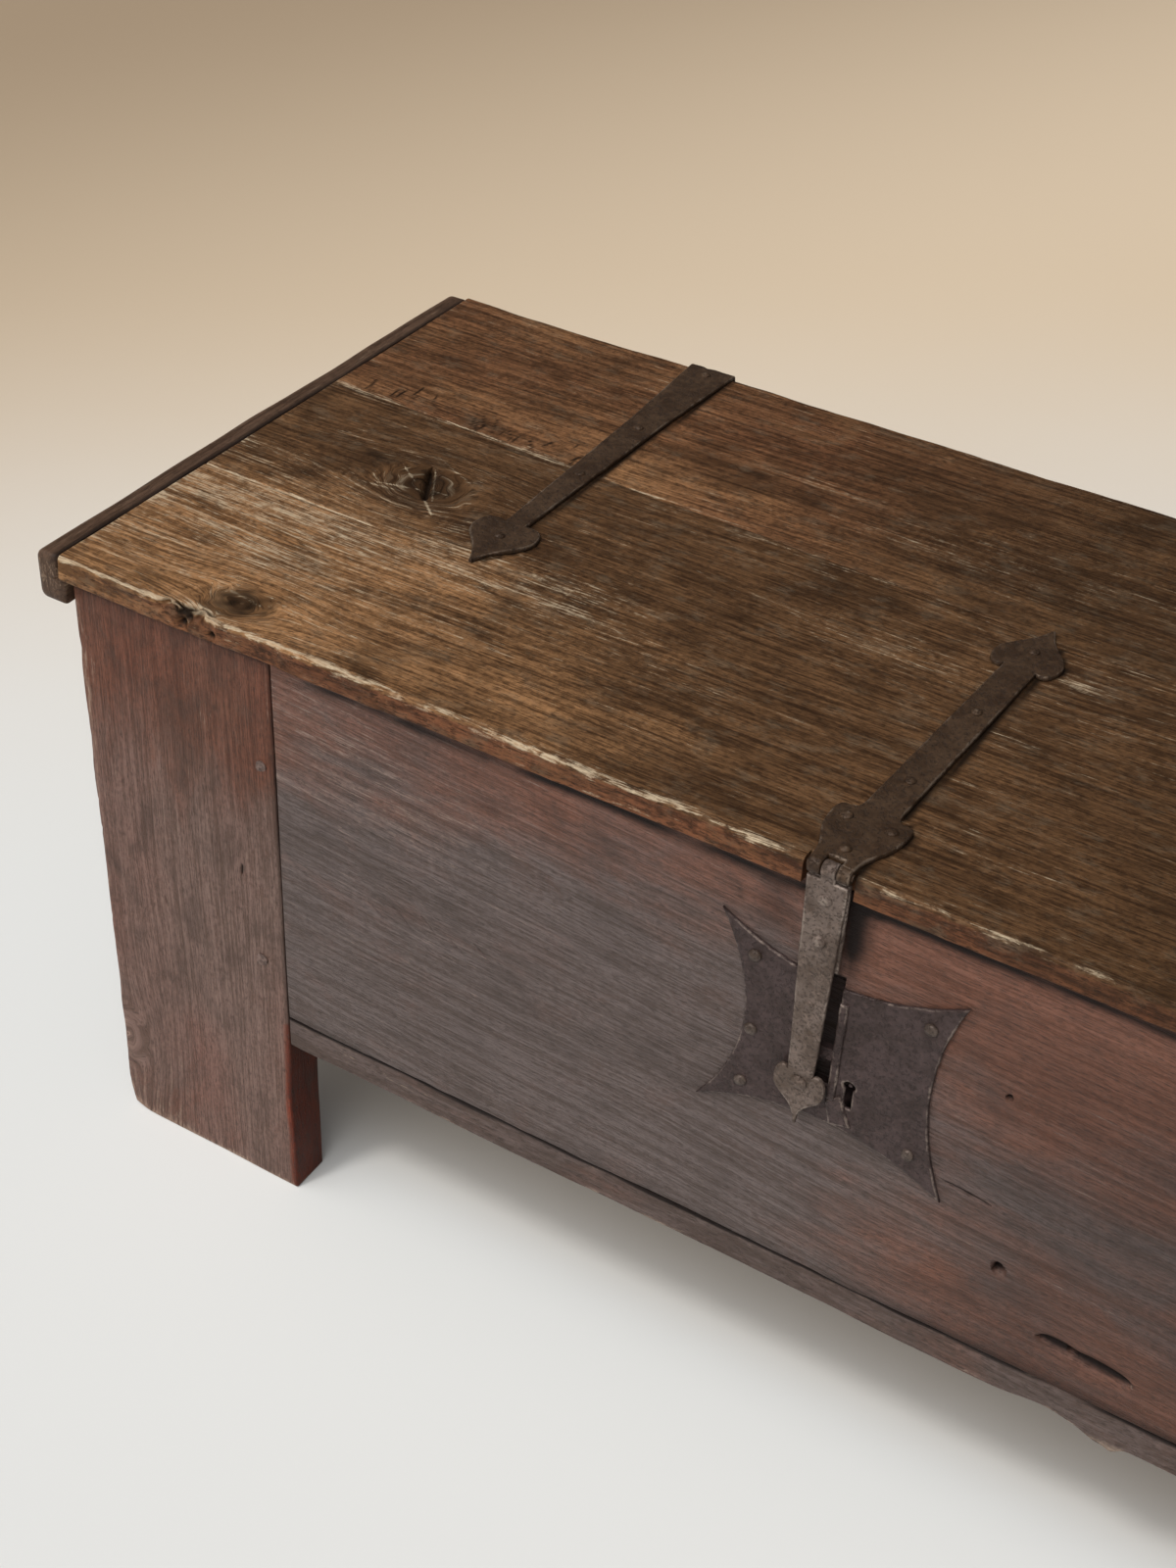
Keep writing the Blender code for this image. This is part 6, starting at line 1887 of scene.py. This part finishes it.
class CHEST_OT_stage(bpy.types.Operator):
    """Lay the pale floor, hang the lamps and set the camera"""

    bl_idname = "chest.stage"
    bl_label = "Stage"

    def execute(self, context):
        scene = context.scene
        tones = scene.plank_chest_tones
        reach = FLOOR_REACH
        corners = [(x * reach, y * reach, 0) for x, y in ((-1, -1), (1, -1), (1, 1), (-1, 1))]
        mesh = bpy.data.meshes.new("pale_floor")
        mesh.from_pydata(corners, [], [(0, 1, 2, 3)])
        pale = floor_finish("pale_floor", tones.floor_near, tones.floor_far, tones.floor_corner)
        mesh.materials.append(pale)
        floor = bpy.data.objects.new("pale_floor", mesh)
        scene.collection.objects.link(floor)
        for name, light in LAMPS.items():
            self.lamp(name, *light)
        world = scene.world or bpy.data.worlds.new("room")
        scene.world = world
        world.use_nodes = True
        room = NodeMaker(world.node_tree)
        way = room.node("ShaderNodeTexCoord", {}, {}, "Generated")
        towards = room.reach(way, SKY_WAY)
        sky = room.mix(SKY_DIM, SKY_BRIGHT, room.step(towards, *SKY_EDGE))
        seen = room.node("ShaderNodeLightPath", {}, {}, "Is Camera Ray")
        room.feed(world.node_tree.nodes["Background"].inputs["Color"], room.mix(sky, BACKDROP, seen))
        camera = bpy.data.cameras.new("eye")
        camera.sensor_fit = "VERTICAL"
        camera.sensor_height = SENSOR
        camera.lens = LENS
        camera.clip_end = EYE_REACH
        eye = bpy.data.objects.new("eye", camera)
        right = Vector(EYE_RIGHT).normalized()
        forward = Vector(EYE_FORWARD)
        forward = (forward - forward.dot(right) * right).normalized()
        rows = Matrix((right, right.cross(forward), -forward)).transposed().to_4x4()
        eye.matrix_world = Matrix.Translation(EYE) @ rows
        scene.collection.objects.link(eye)
        scene.camera = eye
        scene.view_settings.view_transform = "Standard"
        return {"FINISHED"}

    @staticmethod
    def lamp(name, way, spread, power, colour):
        """Soft even light from a direction, as wide as its spread in degrees."""
        light = bpy.data.lights.new(name, "SUN")
        light.angle = math.radians(spread)
        light.energy = power
        light.color = colour
        made = bpy.data.objects.new(name, light)
        made.location = LAMP_AWAY * Vector(way)
        made.rotation_euler = (-Vector(way)).to_track_quat("-Z", "Y").to_euler()
        bpy.context.scene.collection.objects.link(made)


STEPS = (
    CHEST_OT_lid_boards, CHEST_OT_lid_cleats, CHEST_OT_front, CHEST_OT_back, CHEST_OT_ends,
    CHEST_OT_floor_boards, CHEST_OT_pegs, CHEST_OT_hinges, CHEST_OT_hasp, CHEST_OT_lock,
    CHEST_OT_nails, CHEST_OT_stage,
)
FINISHES = (
    "front_oak", "stile_oak", "lid_oak", "cleat_oak", "inside_oak", "peg_oak",
    "strap_iron", "hasp_iron", "lock_iron", "nail_iron",
)


class CHEST_PT_panel(bpy.types.Panel):
    """Steps that dress the chest, with its sizes and colours"""

    bl_idname = "CHEST_PT_panel"
    bl_label = "Plank chest"
    bl_space_type = "VIEW_3D"
    bl_region_type = "UI"
    bl_category = "Plank chest"

    def draw(self, context):
        for step in STEPS:
            self.layout.operator(step.bl_idname)
        for group in (context.scene.plank_chest_sizes, context.scene.plank_chest_tones):
            for key in group.__annotations__:
                self.layout.prop(group, key)


CLASSES = (ChestSizes, ChestTones, *STEPS, CHEST_PT_panel)


def register():
    for item in CLASSES:
        bpy.utils.register_class(item)
    bpy.types.Scene.plank_chest_sizes = bpy.props.PointerProperty(type=ChestSizes)
    bpy.types.Scene.plank_chest_tones = bpy.props.PointerProperty(type=ChestTones)


def unregister():
    del bpy.types.Scene.plank_chest_tones
    del bpy.types.Scene.plank_chest_sizes
    for item in reversed(CLASSES):
        bpy.utils.unregister_class(item)


def main():
    register()
    for step in STEPS:
        group, name = step.bl_idname.split(".")
        getattr(getattr(bpy.ops, group), name)()


if __name__ == "__main__":
    main()
